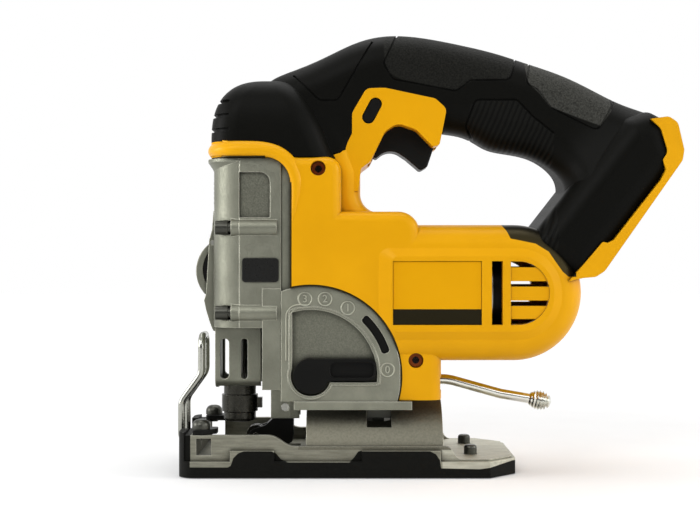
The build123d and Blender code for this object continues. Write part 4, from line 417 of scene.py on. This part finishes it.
def screw_well_shade_material():
    """Housing screws deep in their yellow wells, painted with shade: a dark socket in a brown ring, the
    yellow plastic's colour in shade.
    """
    material = surface("screw_wells_painted_shade", (0.150, 0.034, 0.002), (0.24, 0.060, 0.003), (0.4, 0.5), gloss=0.2,
                       grain=1500, relief=0.03)
    tree = material.node_tree
    across, _, up = axes(tree)
    # Painted shade in the screws' sockets.
    sockets = either(tree, [within(tree, across, up, centre, well_socket_r) for centre in well_centres])
    paint_over(material, sockets, (0.003, 0.002, 0.002), (0.006, 0.004, 0.003))
    return material


# Looks of the nodes
# A reach for painted shade below darkens corners and holes.
# In the looks below, the lighter edge colours are partly rubbing and partly a painted highlight.
casting = dict(rough=(0.38, 0.54), metal=0.85, gloss=0.3, grain=800, relief=0.25, edge=0.0007,
               rubbed_and_highlit=(0.56, 0.55, 0.46), rubbed_and_highlit_share=0.8, painted_shade_reach=0.004)
window_recess = (0.0270, -0.0902, -0.0750)
selector_recess = (0.0284, -0.0665, -0.0160)
yellow = shell_material()
rubber = grip_material()
plate = plate_material()
shoe_finish = shoe_material()
screw_wells_painted_shade = screw_well_shade_material()
black = surface("black_plastic", (0.0028, 0.0028, 0.0023), (0.0044, 0.0044, 0.0036), (0.36, 0.46), gloss=0.12,
                grain=2000, relief=0.05, edge=0.0005, rubbed_and_highlit=(0.02, 0.02, 0.017), rubbed_and_highlit_share=0.4)
alloy = surface("cast_alloy", (0.172, 0.174, 0.136), (0.235, 0.238, 0.188), blotch=70, recess=window_recess,
                **casting)
front_alloy = surface("cover_alloy", (0.160, 0.162, 0.127), (0.220, 0.223, 0.176), blotch=70, **casting)
rear_alloy = surface("sector_alloy", (0.210, 0.212, 0.166), (0.250, 0.253, 0.199), blotch=160,
                     recess=selector_recess, **casting)
# Painted highlight: figures, rings and beads are the case's alloy made lighter, so that their relief reads.
highlit_cast = surface("cast_figures_highlit", (0.33, 0.33, 0.265), (0.40, 0.40, 0.325), (0.36, 0.46), metal=0.85,
                    gloss=0.3, grain=900, relief=0.1)
steel = surface("ground_steel", (0.30, 0.30, 0.27), (0.38, 0.38, 0.34), (0.24, 0.34), metal=1.0, grain=800,
                relief=0.03, stretch=(1, 1, 0.1))
clamp_steel = surface("black_steel", (0.030, 0.029, 0.024), (0.060, 0.058, 0.048), (0.24, 0.36), metal=0.9,
                      gloss=0.3, grain=700, relief=0.06, rubbed_and_highlit=(0.25, 0.24, 0.20), rubbed_and_highlit_share=0.8)
chrome = surface("plated_wire", (0.72, 0.72, 0.665), (0.80, 0.80, 0.74), (0.10, 0.18), metal=1.0, grain=900,
                 relief=0.01)
guard_wire = surface("guard_wire", (0.30, 0.302, 0.268), (0.37, 0.372, 0.33), (0.14, 0.22), metal=1.0,
                     grain=900, relief=0.01)
screw_steel = surface("screw_steel", (0.045, 0.045, 0.038), (0.075, 0.075, 0.064), (0.28, 0.40), metal=0.9,
                      gloss=0.3, grain=900, relief=0.05, rubbed_and_highlit=(0.22, 0.22, 0.19), rubbed_and_highlit_share=0.8)
bronze = surface("bronze", (0.40, 0.22, 0.07), (0.48, 0.28, 0.09), (0.3, 0.42), metal=1.0, grain=900,
                 relief=0.06)
badge = surface("bare_badge", (0.004, 0.004, 0.0035), (0.006, 0.006, 0.005), (0.26, 0.34), gloss=0.3,
                grain=1500, relief=0.02, edge=0.0005, rubbed_and_highlit=(0.05, 0.05, 0.043), rubbed_and_highlit_share=0.6)

looks = {
    yellow: ["left_housing", "right_housing"],
    rubber: ["left_overmould", "right_overmould"],
    front_alloy: ["front_cover", "release_lever"],
    alloy: ["mid_case"],
    rear_alloy: ["rear_case"],
    shoe_finish: ["shoe", "shoe_cover"],
    black: ["trigger", "lock_button", "orbit_selector", "orbit_fork", "terminal_block", "vent_insert",
            "release_pads", "switch_module", "fan", "end_bell", "left_bracket", "right_bracket", "brushes"],
    guard_wire: ["wire_guard"],
    chrome: ["bevel_lever", "lever_knob"],
    screw_steel: ["case_screws", "guide_screws", "shoe_screws", "clamp_bolt", "clamp_plate"],
    screw_wells_painted_shade: ["housing_screws"],
    clamp_steel: ["blade_clamp", "clamp_collar", "guide_roller", "roller_pin"],
    steel: ["plunger_rod", "yoke", "fork_pin", "release_pin", "selector_shaft", "gear_axle", "crank_pin",
            "drive_gear", "pinion", "motor_shaft", "front_bearing", "rear_bearing", "motor_can",
            "armature_core"],
    bronze: ["upper_bush", "lower_bush", "commutator", "terminal_blades"],
    badge: ["case_badge"],
    plate: ["left_plate", "right_plate"],
}
for material, names in looks.items():
    for name in names:
        nodes[name].data.materials.clear()
        nodes[name].data.materials.append(material)


def fixed(piece, material):
    """Give a piece of the scene its material, and let it ride on the tool's body."""
    piece.data.materials.append(material)
    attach(piece, "tool_body")


# Yellow collar: the rounded rim of the shell round the top of the gear case, from one side across the front
# to the other. All in mm; collar_side has each row's inner edge, outer edge and swell in the side view.
collar_side_y = -31.0
collar_low_z, collar_high_z = 151.8, 160.2
collar_corner_x, collar_corner_y, collar_corner_r = -89.5, -16, 15
collar_corner_steps = 6
collar_corner_swell, collar_corner_growth = 1.7, 0.5
collar_front_x, collar_front_y, collar_front_swell = -104.5, -8, 2.3
collar_points, collar_sink, collar_fall, collar_roundness = 9, 0.5, 1.9, 0.75
collar_side = [
    ((-65.2, 116.0), (-64.2, 117.9), 0.1), ((-65.2, 124.1), (-61.9, 124.6), 0.7),
    ((-65.2, 132.2), (-59.5, 132.7), 1.3), ((-65.4, 137.9), (-58.3, 138.9), 1.6),
    ((-66.4, 142.2), (-59.2, 145.1), 1.7), ((-68.3, 146.1), (-61.9, 150.8), 1.7),
    ((-71.2, 149.2), (-65.7, 154.9), 1.7), ((-75.2, 151.0), (-70.9, 158.2), 1.7),
    ((-80.5, 151.6), (-77.6, 159.9), 1.7), ((-86.0, 151.8), (-84.0, 160.2), 1.7)]


def collar_front(y):
    """Row of the collar on the front."""
    inner, outer = (collar_front_x, y, collar_low_z), (collar_front_x, y, collar_high_z)
    return inner, outer, (-1, 0, 0), collar_front_swell


def collar_rows():
    """Rows of (inner edge, outer edge, outward direction, swell) from the near side round to the far one."""
    near = [((xi, collar_side_y, zi), (xo, collar_side_y, zo), (0, -1, 0), swell)
            for (xi, zi), (xo, zo), swell in collar_side]
    for step in range(collar_corner_steps + 1):
        turn = math.radians(90 * step / collar_corner_steps)
        out = (-math.sin(turn), -math.cos(turn), 0)
        foot = (collar_corner_x + collar_corner_r * out[0], collar_corner_y + collar_corner_r * out[1])
        swell = collar_corner_swell + collar_corner_growth * math.sin(turn)
        near.append(((*foot, collar_low_z), (*foot, collar_high_z), out, swell))
    near.append(collar_front(collar_front_y))
    far = [((a[0], -a[1], a[2]), (b[0], -b[1], b[2]), (n[0], -n[1], n[2]), swell)
           for a, b, n, swell in reversed(near)]
    return near + [collar_front(0)] + far


def collar():
    """Closed band with a rounded section, sunk at both edges into the shell and the rubber below it."""
    rows = collar_rows()
    points, faces = [], []
    for inner, outer, out, swell in rows:
        for index in range(collar_points):
            share = index / (collar_points - 1)
            dome = (swell + collar_sink) * math.sin(math.pi * share) ** collar_roundness
            lift = dome - collar_sink - collar_fall * share ** 2
            points.append([(a + (b - a) * share + n * lift) / 1000 for a, b, n in zip(inner, outer, out)])
    for row in range(len(rows) - 1):
        for index in range(collar_points):
            first = row * collar_points + index
            second = row * collar_points + (index + 1) % collar_points
            faces.append((first, second, second + collar_points, first + collar_points))
    last = len(points) - collar_points
    faces.append(tuple(range(collar_points - 1, -1, -1)))
    faces.append(tuple(range(last, len(points))))
    mesh = bpy.data.meshes.new("shell_collar")
    mesh.from_pydata(points, [], faces)
    mesh.update()
    for face in mesh.polygons:
        face.use_smooth = True
    band = bpy.data.objects.new("shell_collar", mesh)
    scene.collection.objects.link(band)
    smooth = band.modifiers.new("smooth", "SUBSURF")
    smooth.levels = 1
    smooth.render_levels = 2
    fixed(band, yellow)


collar()


# Selector numerals: a plain raised figure in a raised ring at each stop, cast on the case beside the
# selector, in a lighter alloy that is a painted highlight on their relief
sector_face = -0.029
ring_r, ring_wire_r = 0.0032, 0.00042
ring_segments, ring_wire_segments = 40, 10
figure_size, figure_height, figure_edge = 0.0050, 0.00030, 0.00012
selector_stops = (("3", -0.0585, 0.0839), ("2", -0.0489, 0.0839), ("1", -0.0380, 0.0796),
                  ("0", -0.0191, 0.0500))
face_near_side = (math.pi / 2, 0, 0)


def numeral(figure, x, z):
    """Ring and figure standing on the near side of the case."""
    bpy.ops.mesh.primitive_torus_add(
        major_radius=ring_r, minor_radius=ring_wire_r, major_segments=ring_segments,
        minor_segments=ring_wire_segments, location=(x, sector_face, z), rotation=face_near_side)
    ring = bpy.context.object
    ring.name = "stop_ring_" + figure
    letter = bpy.data.curves.new("stop_figure_" + figure, "FONT")
    letter.body = figure
    letter.size = figure_size
    letter.align_x = "CENTER"
    letter.align_y = "CENTER"
    letter.extrude = figure_height
    letter.bevel_depth = figure_edge
    sign = bpy.data.objects.new("stop_figure_" + figure, letter)
    sign.location = (x, sector_face, z)
    sign.rotation_euler = face_near_side
    scene.collection.objects.link(sign)
    fixed(ring, highlit_cast)
    fixed(sign, highlit_cast)


for selector_stop in selector_stops:
    numeral(*selector_stop)


# Fine cast beads along the front of the selector recess, in the same lighter alloy, a painted highlight
bead_r, bead_bend_r, bead_reach = 0.00040, 0.006, 0.004
bead_low_z = 0.0545
bead_bend_steps, bead_round_steps = 6, 3


def bead(name, x, high):
    """Thin half-sunk wire of alloy up the front of the recess, bent over at its top."""
    line = bpy.data.curves.new(name, "CURVE")
    line.dimensions = "3D"
    line.bevel_depth = bead_r
    line.bevel_resolution = bead_round_steps
    route = line.splines.new("POLY")
    path = [(x, bead_low_z)]
    for step in range(bead_bend_steps + 1):
        turn = math.radians(90 * step / bead_bend_steps)
        along = x + bead_bend_r - bead_bend_r * math.cos(turn)
        path.append((along, high - bead_bend_r + bead_bend_r * math.sin(turn)))
    path.append((x + bead_bend_r + bead_reach, high))
    route.points.add(len(path) - 1)
    for point, (along, height) in zip(route.points, path):
        point.co = (along, sector_face, height, 1)
    wire = bpy.data.objects.new(name, line)
    scene.collection.objects.link(wire)
    fixed(wire, highlit_cast)


bead("recess_bead_outer", -0.0676, 0.0812)
bead("recess_bead_inner", -0.0662, 0.0799)


# Floor, screen, world, lamps and camera
floor_size, floor_z = 6, -0.0004
floor_mottle, floor_low, floor_high, floor_rough = 30, (0.80, 0.80, 0.80), (0.82, 0.82, 0.82), 0.9
floor_glow = [(0, 140), (250, 150), (500, 250), (750, 400), (1200, 600), (2000, 760)]
screen_place, screen_scale = (-0.1, -1.9, 0.35), (2.6, 1.5, 1)
screen_weave, screen_low, screen_high = 20, (0.10, 0.10, 0.10), (0.13, 0.13, 0.13)
plain_light = 0.22
lamps = (
    # name, place, aim, size in metres and power in watts
    ("key", (-0.55, -1.0, 0.95), (-0.02, 0, 0.1), 0.7, 7),
    ("fill", (0.7, -1.0, 0.5), (0, 0, 0.1), 0.9, 3.4),
    ("top", (0.05, 0.25, 1.2), (0, 0, 0.1), 0.9, 7),
    ("left_strip", (-0.95, -0.12, 0.35), (-0.05, 0, 0.12), 0.5, 5),
    ("right_strip", (1.0, -0.12, 0.45), (0.02, 0, 0.12), 0.5, 5),
)
camera_place, camera_turn = (-0.037, -0.650, 0.104), (math.pi / 2, 0, 0)
camera_sensor, camera_lens = 36, 66.86


def background_rays(tree):
    """1 for the rays that show the background: camera, glossy and transmission."""
    path = tree.nodes.new("ShaderNodeLightPath")
    kinds = ("Is Camera Ray", "Is Glossy Ray", "Is Transmission Ray")
    return either(tree, [path.outputs[kind] for kind in kinds])


def stage_floor():
    """Pale floor that keeps the tool's shadow, lifted to white farther off, where less light falls.

    floor_glow has the lift over the distance from the middle, both in thousandths."""
    bpy.ops.mesh.primitive_plane_add(size=floor_size, location=(0, 0, floor_z))
    floor = bpy.context.object
    floor.name = "floor"
    material, tree = new_material("floor_white")
    shader = tree.nodes["Principled BSDF"]
    colour = ramp(tree, noise(tree, floor_mottle), floor_low, floor_high)
    tree.links.new(colour, shader.inputs["Base Color"])
    shader.inputs["Roughness"].default_value = floor_rough
    shader.inputs["Emission Color"].default_value = (1, 1, 1, 1)
    across, along, _ = axes(tree)
    reach = math_node(tree, "SQRT", sum_of_squares(tree, across, along), 0.0)
    lift = product(tree, background_rays(tree), profile(tree, reach, floor_glow, 0.0, 1.0))
    tree.links.new(lift, shader.inputs["Emission Strength"])
    floor.data.materials.append(material)


def dark_screen():
    """Grey screen behind the camera, only in reflections, so that flat metal is darker than rounded edges."""
    bpy.ops.mesh.primitive_plane_add(size=1, location=screen_place, rotation=(math.pi / 2, 0, 0))
    screen = bpy.context.object
    screen.name = "screen"
    screen.scale = screen_scale
    material, tree = new_material("screen_grey")
    shader = tree.nodes["Principled BSDF"]
    colour = ramp(tree, noise(tree, screen_weave), screen_low, screen_high)
    tree.links.new(colour, shader.inputs["Base Color"])
    shader.inputs["Roughness"].default_value = 1.0
    screen.data.materials.append(material)
    screen.visible_camera = False
    screen.visible_diffuse = False
    screen.visible_shadow = False


def world_light():
    """White to the rays that show the background; a plain soft light to the rest."""
    world = bpy.data.worlds.new("studio")
    scene.world = world
    world.use_nodes = True
    tree = world.node_tree
    background = tree.nodes["Background"]
    background.inputs["Color"].default_value = (1, 1, 1, 1)
    strength = map_range(tree, background_rays(tree), plain_light, 1.0, 0.0, 1.0)
    tree.links.new(strength, background.inputs["Strength"])


def soft_box(name, place, target, size, power):
    """Square area lamp aimed at a point."""
    lamp = bpy.data.lights.new(name, "AREA")
    lamp.shape = "SQUARE"
    lamp.size = size
    lamp.energy = power
    box = bpy.data.objects.new(name, lamp)
    box.location = place
    aim = Vector(target) - Vector(place)
    box.rotation_euler = aim.to_track_quat("-Z", "Y").to_euler()
    scene.collection.objects.link(box)


stage_floor()
dark_screen()
world_light()
for lamp in lamps:
    soft_box(*lamp)

lens = bpy.data.cameras.new("photo_camera")
lens.sensor_width = camera_sensor
lens.lens = camera_lens
camera = bpy.data.objects.new("photo_camera", lens)
camera.location = camera_place
camera.rotation_euler = camera_turn
scene.collection.objects.link(camera)
scene.camera = camera
scene.view_settings.view_transform = "Standard"
